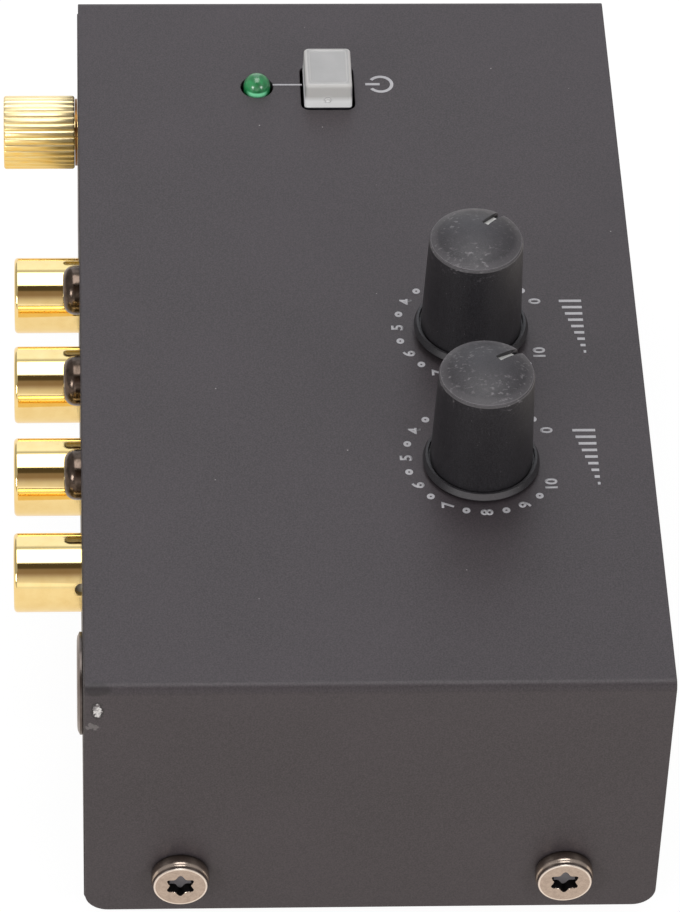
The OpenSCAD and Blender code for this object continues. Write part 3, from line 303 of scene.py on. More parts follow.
coat_scuffed = blend_colours(powder_coat, times(powder_coat, scuff, 0.25), coat_dusty, "#a8a29f")
bruise = spot(powder_coat, chip_at, bruise_size, edge_mm=0.2, ragged_mm=0.7)
coat_bruised = blend_colours(powder_coat, times(powder_coat, bruise, 0.7), coat_scuffed, "#1c191b")
chip = spot(powder_coat, chip_at, chip_size, edge_mm=0.1, ragged_mm=0.9)
torn = between(powder_coat, grain(powder_coat, 0.45, 3), 0.42, 0.56)
bare_metal = blend_colours(powder_coat, torn, "#6f6a6b", "#d6d2cf")
coat_chipped = blend_colours(powder_coat, chip, coat_bruised, bare_metal)
smudge = times(powder_coat, spot(powder_coat, smudge_at, smudge_size, edge_mm=0.5, ragged_mm=0.8), 0.6)
coat_colour = blend_colours(powder_coat, smudge, coat_chipped, "#211d1f")
coat_gloss = between(powder_coat, peel, 0.3, 0.7, 0.42, 0.52)
finish_material(powder_coat, {"IOR": 1.5},
                {"Base Color": coat_colour, "Roughness": coat_gloss,
                 "Normal": relief(powder_coat, peel, 0.008)})


def new_piece(name, mesh, materials, body, replaced=()):
    """Puts a mesh in the scene, on its body, in place of the nodes that it stands for."""
    piece = bpy.data.objects.new(name, mesh)
    bpy.context.scene.collection.objects.link(piece)
    for material in materials:
        mesh.materials.append(material)
    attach(piece, body)
    if replaced:
        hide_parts(*replaced)
    return piece


def flat_faces_kept_flat(mesh, sharpest):
    """Smooth shading in which a panel keeps its own direction up to its rounded edges."""
    planes, keys = {}, []
    for face in mesh.polygons:
        key = tuple(round(c, 3) for c in face.normal) + (round(face.normal.dot(face.center), 5),)
        keys.append(key)
        planes[key] = planes.get(key, 0) + face.area
    around = [[] for _ in mesh.vertices]
    for face, key in zip(mesh.polygons, keys):
        for v in face.vertices:
            around[v].append((face.normal.copy(), planes[key]))
    least = cos(radians(sharpest))
    normals = []
    for face in mesh.polygons:
        for v in face.vertices:
            near = [normal * area for normal, area in around[v] if normal.dot(face.normal) > least]
            normals.append(sum(near, Vector()).normalized())
    mesh.normals_split_custom_set(normals)


# What counts as one point, in metres, and as a flat or a sharp edge, in degrees.
one_point, flat_edge, sharp_edge, soft_edge = 2e-6, 0.5, 40, 45


def eased(node, name, width, material):
    """A copy of a node whose sharp edges are rounded by that many metres."""
    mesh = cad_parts[node].data.copy()
    mesh.name = name
    mesh.materials.clear()
    shape = bmesh.new()
    shape.from_mesh(mesh)
    bmesh.ops.remove_doubles(shape, verts=shape.verts, dist=one_point)
    bmesh.ops.dissolve_limit(shape, angle_limit=radians(flat_edge), verts=shape.verts, edges=shape.edges)
    edges = [e for e in shape.edges if e.is_manifold and e.calc_face_angle(0) > radians(sharp_edge)]
    bmesh.ops.bevel(shape, geom=edges, offset=width, offset_type="OFFSET", segments=3, profile=0.5,
                    affect="EDGES", clamp_overlap=True)
    bmesh.ops.triangulate(shape, faces=[f for f in shape.faces if len(f.verts) > 4])
    shape.to_mesh(mesh)
    shape.free()
    if mesh.has_custom_normals:
        mesh.attributes.remove(mesh.attributes["custom_normal"])
    mesh.shade_smooth()
    flat_faces_kept_flat(mesh, soft_edge)
    return new_piece(name, mesh, [material], "case", [node])


cut_edge = 0.00013
eased("top_cover", "top_cover_coated", cut_edge, powder_coat)
eased("chassis", "chassis_coated", cut_edge, powder_coat)

# ---- Printing on the cover ----------------------------------------------------------------------
# Screen-printed light grey ink, a thin matt layer: dial numbers and dots, a short line between the
# lamp and its button, and plain marks for rising level and for power.
ink = empty_tree(bpy.data.materials.new("screen_print_ink"))
ink_colour = blend_colours(ink, between(ink, grain(ink, 0.12), 0.3, 0.7), "#a9a7ab", "#bbb9bd")
finish_material(ink, {"Roughness": 0.55, "IOR": 1.5},
                {"Base Color": ink_colour, "Normal": relief(ink, grain(ink, 0.2), 0.004)})
cover_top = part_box("top_cover")[1].z
ink_t = 0.00002
digit_share = 0.73      # height of a digit as a share of the font's size


def printed(name, sheet):
    """Turns flat faces on the cover's top into a thin layer of ink."""
    bmesh.ops.remove_doubles(sheet, verts=sheet.verts, dist=1e-7)
    raised = bmesh.ops.extrude_face_region(sheet, geom=list(sheet.faces))
    for v in sheet.verts:
        v.co.z = cover_top - ink_t / 4
    for v in [g for g in raised["geom"] if isinstance(g, bmesh.types.BMVert)]:
        v.co.z = cover_top + ink_t
    bmesh.ops.recalc_face_normals(sheet, faces=sheet.faces)
    mesh = bpy.data.meshes.new(name)
    sheet.to_mesh(mesh)
    sheet.free()
    return new_piece(name, mesh, [ink], "case")


def band(sheet, x, y, r_in, r_out, start, end, steps):
    """Adds a ring or a part of one, between two radii and two angles in degrees."""
    rows = []
    for i in range(steps + 1):
        t = radians(start + (end - start) * i / steps)
        rows.append([sheet.verts.new((x + r * cos(t), y + r * sin(t), cover_top)) for r in (r_in, r_out)])
    for (a, b), (c, d) in zip(rows, rows[1:]):
        sheet.faces.new((a, b, d, c))


def bar(sheet, x0, y0, x1, y1):
    """Adds a rectangle between two corners."""
    corners = (x0, y0), (x1, y0), (x1, y1), (x0, y1)
    sheet.faces.new([sheet.verts.new((x, y, cover_top)) for x, y in corners])


def number(sheet, text, x, y, height, bolder):
    """Adds a number centred at x and y, with its top towards the sockets."""
    curve = bpy.data.curves.new("number", "FONT")
    curve.body = text
    curve.align_x = "CENTER"
    curve.size = height / digit_share
    curve.offset = bolder
    curve.resolution_u = 4
    letter = bpy.data.objects.new("number", curve)
    bpy.context.scene.collection.objects.link(letter)
    bpy.context.view_layer.update()
    mesh = bpy.data.meshes.new_from_object(letter.evaluated_get(bpy.context.evaluated_depsgraph_get()))
    mesh.transform(Matrix.Translation((x, y - height / 2, cover_top)))
    sheet.from_mesh(mesh)
    bpy.data.objects.remove(letter)
    bpy.data.curves.remove(curve)
    bpy.data.meshes.remove(mesh)


# Numbers 0 to 10 stand 30 degrees apart round each dial, with a small ring between every two.
number_h, number_bolder = 0.00128, 0.00005
dial_r = 0.0080
dot_out, dot_in, dot_steps = 0.00041, 0.00012, 20
dial_step = 30
for control, dial_x, dial_y in (("level", -0.000875, -0.016095), ("volume", -0.02054, -0.016095)):
    dots = bmesh.new()
    for k in range(10):
        turn = radians(dial_step * (k + 1.5))
        band(dots, dial_x + dial_r * sin(turn), dial_y - dial_r * cos(turn),
             dot_in, dot_out, 0, 360, dot_steps)
    printed(control + "_dial_dots", dots)
    numbers = bmesh.new()
    for n in range(11):
        turn = radians(dial_step * (n + 1))
        number(numbers, str(n), dial_x + dial_r * sin(turn), dial_y - dial_r * cos(turn),
               number_h, number_bolder)
    printed(control + "_dial_numbers", numbers)

line_x, line_w, line_from, line_to = 0.03845, 0.00023, 0.00071, 0.00394
lamp_line = bmesh.new()
bar(lamp_line, line_x - line_w / 2, line_from, line_x + line_w / 2, line_to)
printed("lamp_line", lamp_line)

# An open ring with a stem in its gap, and a row of bars that rise in even steps.
power_x, power_y, power_r, power_w = 0.0385, -0.0081, 0.00125, 0.00036
ring_from, ring_to, ring_steps = 125, 415, 36
stem_from, stem_to = 0.0001, 0.0017
power_mark = bmesh.new()
band(power_mark, power_x, power_y, power_r - power_w / 2, power_r + power_w / 2,
     ring_from, ring_to, ring_steps)
bar(power_mark, power_x - power_w / 2, power_y + stem_from, power_x + power_w / 2, power_y + stem_to)
printed("power_mark", power_mark)

wedge_l, wedge_h, wedge_steps, wedge_bar = 0.0082, 0.0024, 9, 0.00036
for control, mark_x, mark_y in (("level", -0.00076, -0.0281), ("volume", -0.0205, -0.0282)):
    wedge = bmesh.new()
    for i in range(wedge_steps):
        x = mark_x - wedge_l / 2 + (wedge_l - wedge_bar) * i / (wedge_steps - 1)
        bar(wedge, x, mark_y, x + wedge_bar, mark_y + wedge_h * (i + 1) / wedge_steps)
    printed(control + "_mark", wedge)


# ---- Cover screws -------------------------------------------------------------------------------
# Four nickel-plated M3 pan head screws with a six-lobe recess hold the cover's flanges to the lips
# of the chassis. The plating is warm and softly bright; its rim is painted lighter as a highlight,
# and its recess dark as shade.
def skin(shape, loops, material_of=lambda i: 0):
    """A closed skin through loops of equal length, capped at both ends.

    material_of gives the number of the material between a loop and the next."""
    rings = [[shape.verts.new(point) for point in loop] for loop in loops]
    for i, (first, second) in enumerate(zip(rings, rings[1:])):
        for j in range(len(first)):
            k = (j + 1) % len(first)
            shape.faces.new((first[j], first[k], second[k], second[j])).material_index = material_of(i)
    shape.faces.new(list(reversed(rings[0]))).material_index = material_of(0)
    shape.faces.new(rings[-1]).material_index = material_of(len(rings))


def skinned(name, shape, materials, body, replaced, sharpest):
    """Makes a finished skin into a piece, smooth up to that many degrees between faces."""
    bmesh.ops.recalc_face_normals(shape, faces=shape.faces)
    mesh = bpy.data.meshes.new(name)
    shape.to_mesh(mesh)
    shape.free()
    mesh.shade_smooth()
    mesh.set_sharp_from_angle(angle=radians(sharpest))
    return new_piece(name, mesh, materials, body, replaced)


def along(material, axis):
    """How far along an axis a point of the piece lies, in metres."""
    return add(material, "SeparateXYZ", links={0: place(material)}).outputs[axis]


# Shade is painted dark under the head, over the last tenths of a millimetre before the flange.
screw_x, screw_z = 0.053, 0.00795
shade_from, shade_full = 0.0008, 0.0001
nickel = empty_tree(bpy.data.materials.new("nickel_plate_warm"))
wear = between(nickel, grain(nickel, 0.5, 3), 0.35, 0.7)
nickel_clean = blend_colours(nickel, wear, "#c0b1a4", "#b2a397")
out = add(nickel, "Math", {"operation": "ABSOLUTE"}, {0: along(nickel, "X")}).outputs[0]
under_head_shade = between(nickel, out, screw_x + shade_from, screw_x + shade_full)
nickel_colour = blend_colours(nickel, times(nickel, under_head_shade, 0.8), nickel_clean, "#3d352d")
finish_material(nickel, {"Metallic": 1.0},
                {"Base Color": nickel_colour, "Roughness": between(nickel, wear, 0, 1, 0.18, 0.27),
                 "Normal": relief(nickel, grain(nickel, 0.4, 1), 0.001)})


def metal(name, light, dark, roughness):
    """A plated or drawn metal: two near tones in patches, with fine handling marks."""
    material = empty_tree(bpy.data.materials.new(name))
    tones = blend_colours(material, between(material, grain(material, 1.2, 3), 0.3, 0.7), light, dark)
    finish_material(material, {"Metallic": 1.0, "Roughness": roughness},
                    {"Base Color": tones, "Normal": relief(material, grain(material, 0.15), 0.0015)})
    return material


def plastic(name, light, dark, roughness, grain_mm=0.25, depth_mm=0.004):
    """A moulded plastic: two near tones in soft patches, and the fine grain of its mould."""
    material = empty_tree(bpy.data.materials.new(name))
    tones = blend_colours(material, between(material, grain(material, 5, 3), 0.3, 0.7), light, dark)
    finish_material(material, {"IOR": 1.5},
                    {"Base Color": tones,
                     "Roughness": between(material, grain(material, grain_mm), 0.3, 0.7,
                                          roughness - 0.04, roughness + 0.04),
                     "Normal": relief(material, grain(material, grain_mm), depth_mm)})
    return material


# The recess's lobed walls are painted near black as shade.
recess_shade = empty_tree(bpy.data.materials.new("recess_painted_shade"))
recess_shade_patches = between(recess_shade, grain(recess_shade, 0.3, 3), 0.3, 0.7)
finish_material(recess_shade, {"IOR": 1.45, "Specular IOR Level": 0.12, "Roughness": 0.7},
                {"Base Color": blend_colours(recess_shade, recess_shade_patches, "#0b0a0a", "#171415")})
recess_floor = plastic("grey_dust_on_nickel", "#8d888a", "#757073", 0.6)
# The rim's ring is painted a lighter nickel as a highlight.
rim_highlight = metal("nickel_plate_rim_highlight", "#f3e9e0", "#e6dacf", 0.32)

screw_ys = (0.015725, -0.024075)
screw_points = 96
lobe_r, valley_r = 1.56, 1.12
# Radius and height in millimetres, from the tip of the shank over the head. The recess's rows are
# scales of its lobed outline with their heights.
head_profile = [(1.2, -5), (1.5, -4.7), (1.5, 0.01), (2.9, 0.01), (2.98, 0.1), (3.01, 0.35),
                (3.03, 0.7), (3.03, 1.02), (2.99, 1.19), (2.91, 1.33), (2.84, 1.43), (2.81, 1.55),
                (2.81, 1.7), (2.8, 1.8), (2.765, 1.875), (2.6, 1.89), (2.54, 1.87), (2.46, 1.84),
                (2.1, 1.83)]
rim_rows = (13, 14)
recess_profile = [(1.05, 1.83), (1.0, 1.78), (0.97, 0.66), (0.85, 0.62), (0.15, 0.56)]


def lobed(angle):
    """Radius of the six-lobe outline in that direction, in millimetres."""
    return valley_r + (lobe_r - valley_r) * ((1 + cos(6 * angle + pi)) / 2) ** 1.35


def screw_material(i):
    """Plate up to the head, painted shade in the recess, dust on its floor, and the painted rim
    highlight.
    """
    return 3 if i in rim_rows else max(0, min(2, i - len(head_profile)))


screws = bmesh.new()
for side in (-1, 1):
    for y in screw_ys:
        rows = [[(r, h) for _ in range(screw_points)] for r, h in head_profile]
        turns = [2 * pi * i / screw_points for i in range(screw_points)]
        rows += [[(scale * lobed(turn), h) for turn in turns] for scale, h in recess_profile]
        loops = [[(side * (screw_x + h / 1000), y + r * cos(t) / 1000, screw_z + r * sin(t) / 1000)
                  for t, (r, h) in zip(turns, row)] for row in rows]
        skin(screws, loops, screw_material)
skinned("cover_screws_detailed", screws, [nickel, recess_shade, recess_floor, rim_highlight], "case",
        ["cover_screws"], 40)


# ---- Feet ---------------------------------------------------------------------------------------
# Four moulded black rubber feet, stuck on under the chassis. Rubber is matt, and greyer where it
# has picked up dust.
def dress(material, *nodes):
    """Gives a material to CAD nodes that are shown as they are."""
    for node in nodes:
        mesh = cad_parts[node].data
        mesh.materials.clear()
        mesh.materials.append(material)


rubber = empty_tree(bpy.data.materials.new("moulded_rubber"))
rubber_dust = between(rubber, grain(rubber, 0.6, 3), 0.3, 0.75)
rubber_colour = blend_colours(rubber, rubber_dust, "#1b1b1c", "#2a2929")
finish_material(rubber, {"Roughness": 0.75, "IOR": 1.52},
                {"Base Color": rubber_colour, "Normal": relief(rubber, grain(rubber, 0.15), 0.01)})
dress(rubber, "rubber_feet")

# ---- Phono sockets ------------------------------------------------------------------------------
# Four turned brass shells with a polished gold flash, in one moulded block behind the rear panel.
# Fine turning marks run round each shell and blur its reflections along the axis.
gilt = empty_tree(bpy.data.materials.new("gilt_brass_polished"))
turning = grain(gilt, 0.06, 1, (0.02, 1, 0.02))
tarnish = between(gilt, grain(gilt, 1.6, 3), 0.35, 0.75)
gilt_colour = blend_colours(gilt, tarnish, "#fbe3a2", "#f6da96")
finish_material(gilt, {"Metallic": 1.0},
                {"Base Color": gilt_colour, "Roughness": between(gilt, tarnish, 0, 1, 0.05, 0.1),
                 "Normal": relief(gilt, turning, 0.0006)})
dress(gilt, "rca_shells", "rca_contacts", "ground_post")

# Nylon plugs in the shells: off-white, a little waxy. The block behind them is black nylon.
dress(plastic("nylon_off_white", "#dedbd2", "#cfcbc0", 0.4), "rca_insulators")
dress(plastic("nylon_black", "#1d1d1f", "#252527", 0.5), "rca_block", "dc_jack_body", "switch_housing")

# Three thread-forming pan head screws hold the block: black nickel, dark with bright highlights.
black_nickel = empty_tree(bpy.data.materials.new("black_nickel_plate"))
dark_wear = between(black_nickel, grain(black_nickel, 0.7, 3), 0.35, 0.7)
finish_material(black_nickel, {"Metallic": 1.0},
                {"Base Color": blend_colours(black_nickel, dark_wear, "#65584f", "#40372f"),
                 "Roughness": between(black_nickel, dark_wear, 0, 1, 0.15, 0.28),
                 "Normal": relief(black_nickel, grain(black_nickel, 0.5), 0.005)})
dress(black_nickel, "rca_screws")

# ---- Earth terminal -----------------------------------------------------------------------------
# A gilt brass thumb nut with a rolled straight knurl, on a threaded post. The teeth are rounded by
# the plating, painted paler on the side that looks up as lit from above, and narrow dark grooves
# part them.
knurled = empty_tree(bpy.data.materials.new("gilt_brass_knurled"))
lines = grain(knurled, 0.12, 2, (1, 0.06, 1))
knurl_gold = blend_colours(knurled, between(knurled, lines, 0.35, 0.65), "#ffd46c", "#ffe59a")
# Painted light: the side that looks up is paler, as if lit from above.
painted_top_light = times(knurled, facing(knurled, "Z", 0.2, 0.85), 0.6)
knurl_colour = blend_colours(knurled, painted_top_light, knurl_gold, "#fff4cf")
finish_material(knurled, {"Metallic": 0.9},
                {"Base Color": knurl_colour, "Roughness": between(knurled, lines, 0.3, 0.7, 0.28, 0.4),
                 "Normal": relief(knurled, lines, 0.004)})
nut_low, nut_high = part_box("ground_nut")
nut_x, nut_z = (nut_low.x + nut_high.x) / 2, (nut_low.z + nut_high.z) / 2
nut_r, nut_l = (nut_high.x - nut_low.x) / 2, nut_high.y - nut_low.y
teeth, tooth_depth, tooth_points = 33, 0.00013, 12
bore_r, bore_l, bore_ease = 0.00205, 0.0066, 0.0002
ease, front_dish = 0.00022, 0.00025
# Radius and distance from the panel, from the bottom of the bore round to the dished front.
nut_profile = [(bore_r, bore_l), (bore_r, bore_ease), (bore_r + bore_ease, 0), (nut_r - ease, 0),
               (nut_r - ease * 0.4, ease * 0.3), (nut_r, ease), (nut_r, nut_l / 2), (nut_r, nut_l - ease),
               (nut_r - ease * 0.4, nut_l - ease * 0.3), (nut_r - ease, nut_l), (nut_r * 0.62, nut_l),
               (nut_r * 0.56, nut_l - front_dish), (nut_r * 0.1, nut_l - front_dish)]
nut_count = teeth * tooth_points


def tooth_limit(i):
    """Largest radius at that point of the circle: full on a tooth, less in a groove."""
    return nut_r - tooth_depth * (0.5 - 0.5 * cos(2 * pi * i / tooth_points)) ** 3


thumb_nut = bmesh.new()
nut_loops = []
for r, l in nut_profile:
    loop = []
    for i in range(nut_count):
        t = 2 * pi * i / nut_count
        q = min(r, tooth_limit(i))
        loop.append((nut_x + q * cos(t), nut_low.y + l, nut_z + q * sin(t)))
    nut_loops.append(loop)
skin(thumb_nut, nut_loops)
skinned("ground_nut_knurled", thumb_nut, [knurled], "ground_nut", ["ground_nut"], 50)

# The washer is bare brass that has browned. The tag is tinned brass, its wire green PVC.
aged_brass = empty_tree(bpy.data.materials.new("aged_brass"))
brown = between(aged_brass, grain(aged_brass, 0.8, 4), 0.3, 0.7)
finish_material(aged_brass, {"Metallic": 1.0, "Roughness": 0.35},
                {"Base Color": blend_colours(aged_brass, brown, "#a0713a", "#6d4a2c"),
                 "Normal": relief(aged_brass, grain(aged_brass, 0.2), 0.002)})
dress(aged_brass, "ground_washer")

# ---- Power inlet --------------------------------------------------------------------------------
# A moulded panel socket with a tinned centre pin, clamped to the rear panel by a low round nut. The
# nut is turned and plated in dark nickel, softly bright on its rim.
dress(metal("dark_nickel_plate", "#7d7470", "#655d59", 0.3), "dc_jack_nut")
tinned = metal("tinned_brass", "#c9c9cb", "#b2b2b4", 0.3)
dress(tinned, "dc_jack_pin", "ground_lug", "header_pins", "switch_pins", "led_leads", "opamp_pins",
      "capacitor_leads", "resistor_leads", "regulator_leads", "volume_pot_pins", "level_pot_pins")

# ---- Control knobs ------------------------------------------------------------------------------
# Injection-moulded black ABS with a spark-eroded matt grain, pushed onto split shafts. Dust and
# lint lighten their tops and handling has worn the rims paler. The rims are also painted lighter as
# a highlight, and so is the front of the base rings.
# The grain's pits are drawn at 0.14 mm, coarser than they are, so that they show.
knob_height, knob_ring_h = 0.01255, 0.0009
ring_fade, ring_edge = 0.0021, 0.00007
step_low, step_high, step_fade = 0.00004, 0.00009, 0.00003
fuzz_low, fuzz_full = 0.0019, 0.0003
pale_rim_tone = "#7b777a"
spark_mm = 0.14


def knob_plastic(control, gap):
    """The finish of one knob, whose foot stands that far above the cover."""
    knob_abs = empty_tree(bpy.data.materials.new("abs_black_spark_grain_" + control))
    ring_z = cover_top + gap + knob_ring_h
    rim_z = cover_top + gap + knob_height
    up = along(knob_abs, "Z")
    above_ring = between(knob_abs, up, ring_z, ring_z + ring_fade)
    pits = between(knob_abs, grain(knob_abs, spark_mm), 0.3, 0.7)
    black = blend_colours(knob_abs, pits, "#151416", "#312f33")
    dusty_top = times(knob_abs, facing(knob_abs, "Z", 0.5, 0.97), above_ring)
    top_dust = times(knob_abs, dusty_top, between(knob_abs, grain(knob_abs, 0.9, 4), 0.25, 0.8, 0.5, 1))
    dusty = blend_colours(knob_abs, times(knob_abs, top_dust, 0.33), black, "#4b474c")
    # The rim is worn pale and painted paler as a highlight, and the little step inside it is painted
    # the same pale tone over its line of shade.
    slopes = times(knob_abs, facing(knob_abs, "Z", 0.3, 0.5), facing(knob_abs, "Z", 0.92, 0.85))
    rim_wear_and_highlight = times(knob_abs, slopes, above_ring)
    worn_and_lit = blend_colours(knob_abs, times(knob_abs, rim_wear_and_highlight, 0.65), dusty, pale_rim_tone)
    step_painted_pale = times(knob_abs, between(knob_abs, up, rim_z - step_low - step_fade, rim_z - step_low),
                 between(knob_abs, up, rim_z + step_high + step_fade, rim_z + step_high))
    stepped = blend_colours(knob_abs, times(knob_abs, step_painted_pale, 0.55), worn_and_lit, pale_rim_tone)
    lint = times(knob_abs, specks(knob_abs, cell=0.4, size=0.055, share=0.4),
                 between(knob_abs, grain(knob_abs, 3, 2), 0.45, 0.6, 0.15, 1))
    linty = blend_colours(knob_abs, times(knob_abs, lint, 0.55), stepped, "#8f8b8d")
    rim_zone = times(knob_abs, between(knob_abs, up, rim_z - fuzz_low, rim_z - fuzz_full),
                     facing(knob_abs, "Z", 0.997, 0.975))
    handled = times(knob_abs, rim_zone, between(knob_abs, grain(knob_abs, 4, 2), 0.42, 0.58, 0.2, 1))
    fuzz = times(knob_abs, between(knob_abs, grain(knob_abs, 0.34, 3, (1, 0.6, 1)), 0.56, 0.7), handled)
    fuzzy = blend_colours(knob_abs, times(knob_abs, fuzz, 0.6), linty, "#858184")
    # The ring's steep wall is painted paler at the front as a highlight.
    ring = between(knob_abs, up, ring_z, ring_z - ring_edge)
    ring_front_highlight = times(knob_abs, times(knob_abs, ring, facing(knob_abs, "X", -0.66, -0.9)),
                       facing(knob_abs, "Z", 0.25, 0.35))
    colour = blend_colours(knob_abs, times(knob_abs, ring_front_highlight, 0.24), fuzzy, "#8d898b")
    return finish_material(knob_abs, {"IOR": 1.53},
                           {"Base Color": colour,
                            "Roughness": between(knob_abs, grain(knob_abs, 1.2, 3), 0.3, 0.7, 0.42, 0.52),
                            "Normal": relief(knob_abs, grain(knob_abs, spark_mm), 0.008)})


dress(knob_plastic("level", 0.0008), "level_knob")
dress(knob_plastic("volume", 0.00035), "volume_knob")

# The pointer is a white line filled into a notch in the top.
dress(plastic("white_fill", "#eeedeb", "#dddcda", 0.5, 0.1), "level_pointer", "volume_pointer")

# Split aluminium shafts in turned brass bushings, on sealed moulded potentiometers.
dress(metal("turned_aluminium", "#d3d4d6", "#c2c3c5", 0.28), "level_shaft", "volume_shaft")
dress(metal("turned_brass", "#d8b06a", "#c29a58", 0.3), "level_pot_bushing", "volume_pot_bushing",
      "board_standoffs")
dress(plastic("pbt_blue", "#27477f", "#2f5392", 0.4), "level_pot_housing", "volume_pot_housing")
dress(plastic("printed_carbon_track", "#2b211a", "#3a2d22", 0.55), "level_pot_tracks",
      "volume_pot_tracks")
dress(plastic("nylon_tan", "#bfa66a", "#ad955c", 0.45), "level_wipers", "volume_wipers")

# ---- Power button -------------------------------------------------------------------------------
# A moulded light grey ABS cap, pushed onto the plunger of a latching switch. It tapers upwards to
# a rounded rim round a dished top. Its near flank is painted lighter as lit, its foot and rim are
# painted paler as highlights, and what lies in the gap is painted dark as shade.
foot_from, foot_full = 0.0016, 0.0009
crown_from, crown_full = 0.0009, 0.0003
gap_fade = 0.00006
button_low, button_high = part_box("button_cap")
button_centre = (button_low + button_high) / 2
button_abs = empty_tree(bpy.data.materials.new("abs_grey_moulded"))
button_tones = between(button_abs, grain(button_abs, 2.5, 3), 0.3, 0.7)
button_flat = blend_colours(button_abs, button_tones, "#a5a4a4", "#adacac")
# The flank towards the near end is painted lighter, as lit from the front.
button_lit_flank = blend_colours(button_abs, facing(button_abs, "X", -0.5, -0.9), button_flat, "#cdcbc8")
button_up = along(button_abs, "Z")
# The foot is painted near white as a highlight, and the rounded rim paler as one.
foot_highlight = between(button_abs, button_up, cover_top + foot_from, cover_top + foot_full)
crown = between(button_abs, button_up, button_high.z - crown_from, button_high.z - crown_full)
crown_highlight = times(button_abs, crown, facing(button_abs, "Z", 0.99, 0.9))
button_pale = blend_colours(button_abs, times(button_abs, crown_highlight, 0.7), button_lit_flank, "#cfcdcb")
button_footed = blend_colours(button_abs, times(button_abs, foot_highlight, 0.95), button_pale, "#ffffff")
# What lies in the gap is painted dark as shade.
gap_shade = between(button_abs, button_up, cover_top + gap_fade, cover_top - gap_fade)
button_colour = blend_colours(button_abs, gap_shade, button_footed, "#1d1c26")
finish_material(button_abs, {"IOR": 1.53, "Roughness": 0.42},
                {"Base Color": button_colour,
                 "Normal": relief(button_abs, grain(button_abs, 0.15), 0.003)})


def rounded_loop(centre, l, w, r, z, corner=8):
    """Points of a rectangle with round corners, at one height."""
    points = []
    for cx, cy, start in ((1, 1, 0), (-1, 1, 90), (-1, -1, 180), (1, -1, 270)):
        for i in range(corner + 1):
            t = radians(start + 90 * i / corner)
            points.append((centre.x + cx * (l / 2 - r) + r * cos(t),
                           centre.y + cy * (w / 2 - r) + r * sin(t), z))
    return points


cap_l, cap_w = button_high.x - button_low.x, button_high.y - button_low.y
cap_h = button_high.z - button_low.z
crown_r, dish, rim_w = 0.00045, 0.00008, 0.0003
taper, corner_r, corner_grows = 0.00006, 0.00022, 0.0002
# Inset from the foot's outline and height: foot, flank, rounded rim, then down into the dish.
cap_rows = [(0, button_low.z), (0, cover_top), (taper, button_high.z - crown_r)]
for bend in (15, 30, 45, 60, 75, 90):
    cap_rows.append((taper + crown_r * (1 - cos(radians(bend))),
                     button_high.z - crown_r * (1 - sin(radians(bend)))))
for part, deep in ((0.35, 0.2), (0.7, 0.8), (1, 1)):
    cap_rows.append((crown_r + rim_w * part, button_high.z - dish * deep))
cap = bmesh.new()
skin(cap, [rounded_loop(button_centre, cap_l - 2 * inset, cap_w - 2 * inset,
                        corner_r + corner_grows * (z - button_low.z) / cap_h, z)
           for inset, z in cap_rows])
# The scar of the mould's gate, a low round bump on the near flank. Rows are shares of its radius
# and how far each lies into the flank.
gate_r, gate_points, gate_out, gate_side, gate_up = 0.0004, 20, 0.00003, 0.0001, 0.00115
gate = Vector((button_low.x - gate_out, button_centre.y + gate_side, cover_top + gate_up))
gate_rows = [(1.0, 0.0002), (1.0, -0.00004), (0.85, -0.00012), (0.6, -0.00015), (0.3, -0.00004)]
skin(cap, [[(gate.x + deep, gate.y + gate_r * size * cos(2 * pi * i / gate_points),
             gate.z + gate_r * size * sin(2 * pi * i / gate_points)) for i in range(gate_points)]
           for size, deep in gate_rows])
skinned("button_cap_dished", cap, [button_abs], "power_button", ["button_cap"], 50)
dress(plastic("acetal_white", "#dcdcda", "#cfcfcd", 0.4), "switch_plunger")

# The return spring round the plunger is drawn steel wire, which shortens by the travel of the
# button. Here it is a copy of the node's mesh, fixed to the case.
spring_steel = metal("spring_steel", "#b9b9bb", "#a5a5a7", 0.25)
spring_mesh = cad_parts["switch_spring"].data.copy()
spring_mesh.materials.clear()
spring = new_piece("switch_spring_wound", spring_mesh, [spring_steel], "case",
                   ["switch_spring"])
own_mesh(spring)

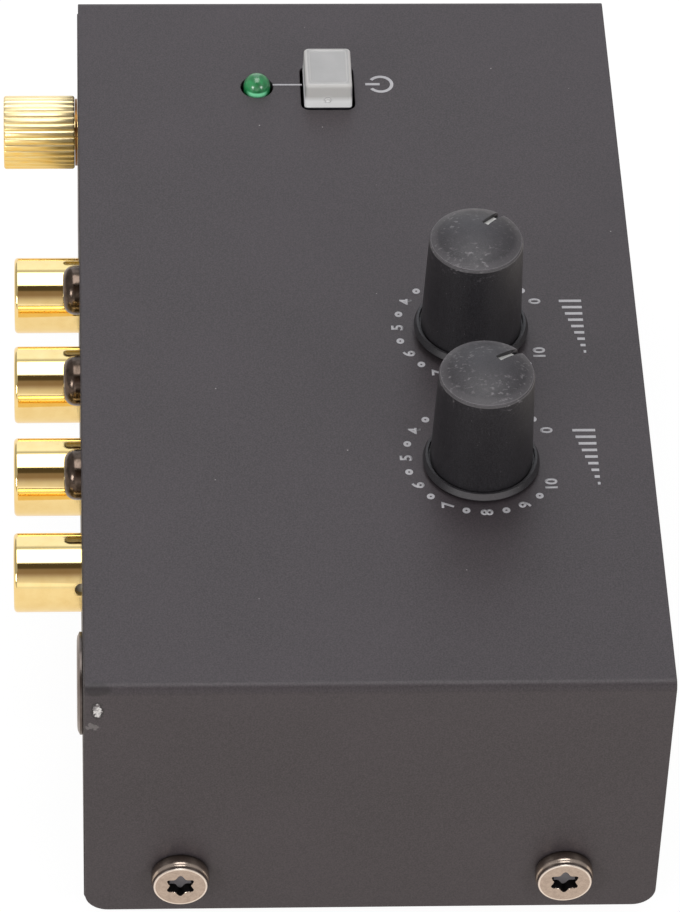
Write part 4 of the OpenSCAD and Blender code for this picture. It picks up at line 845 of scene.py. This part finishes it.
# ---- Lamp ---------------------------------------------------------------------------------------
# A 3 mm green lamp: clear tinted epoxy cast round its leads. A bright crescent is painted on its
# near side, low down at the cover, as a highlight for the light that enters the dome from above.
crescent_from, crescent_full = 0.0004, 0.0002
lamp_epoxy = empty_tree(bpy.data.materials.new("cast_green_epoxy"))
lamp_patches = between(lamp_epoxy, grain(lamp_epoxy, 1.2, 2), 0.35, 0.65)
lamp_tint = blend_colours(lamp_epoxy, lamp_patches, "#106b3a", "#229453")
low_down = between(lamp_epoxy, along(lamp_epoxy, "Z"),
                   cover_top + crescent_from, cover_top + crescent_full)
# The crescent is a painted highlight.
crescent_highlight = times(lamp_epoxy, facing(lamp_epoxy, "X", -0.6, -0.85), low_down)
lamp_colour = blend_colours(lamp_epoxy, crescent_highlight, lamp_tint, "#93ffc2")
finish_material(lamp_epoxy, {"IOR": 1.54, "Roughness": 0.3, "Coat Weight": 1.0, "Coat Roughness": 0.14},
                {"Base Color": lamp_colour, "Normal": relief(lamp_epoxy, grain(lamp_epoxy, 0.6), 0.001)})
dress(lamp_epoxy, "led_lens")

# ---- Circuit board and the parts on it ----------------------------------------------------------
# A glass epoxy board under green solder resist, screwed to brass standoffs. Its through-hole parts
# have moulded, dipped, sleeved and lacquered bodies, each with its own gloss.
dress(plastic("solder_resist_green", "#1b5a36", "#22663e", 0.35), "circuit_board")
dress(metal("zinc_plated_steel", "#b9bbc0", "#a2a4aa", 0.32), "board_screws", "standoff_screws")
dress(plastic("pvc_green", "#1f6b37", "#287a42", 0.4), "ground_wire")
dress(plastic("pvc_red", "#a3201b", "#b32a22", 0.4), "dc_wires")
dress(plastic("nylon_white", "#dedac8", "#d0ccba", 0.45), "wire_header")
dress(plastic("epoxy_black_moulded", "#19191b", "#222224", 0.55), "opamp_bodies", "regulator")
dress(plastic("shrunk_sleeve_dark_blue", "#1d2334", "#262d42", 0.3), "electrolytic_caps")
dress(plastic("dipped_epoxy_red", "#93301f", "#a53a28", 0.3), "film_caps")
dress(plastic("lacquer_tan", "#bda577", "#cbb488", 0.4), "resistor_bodies")
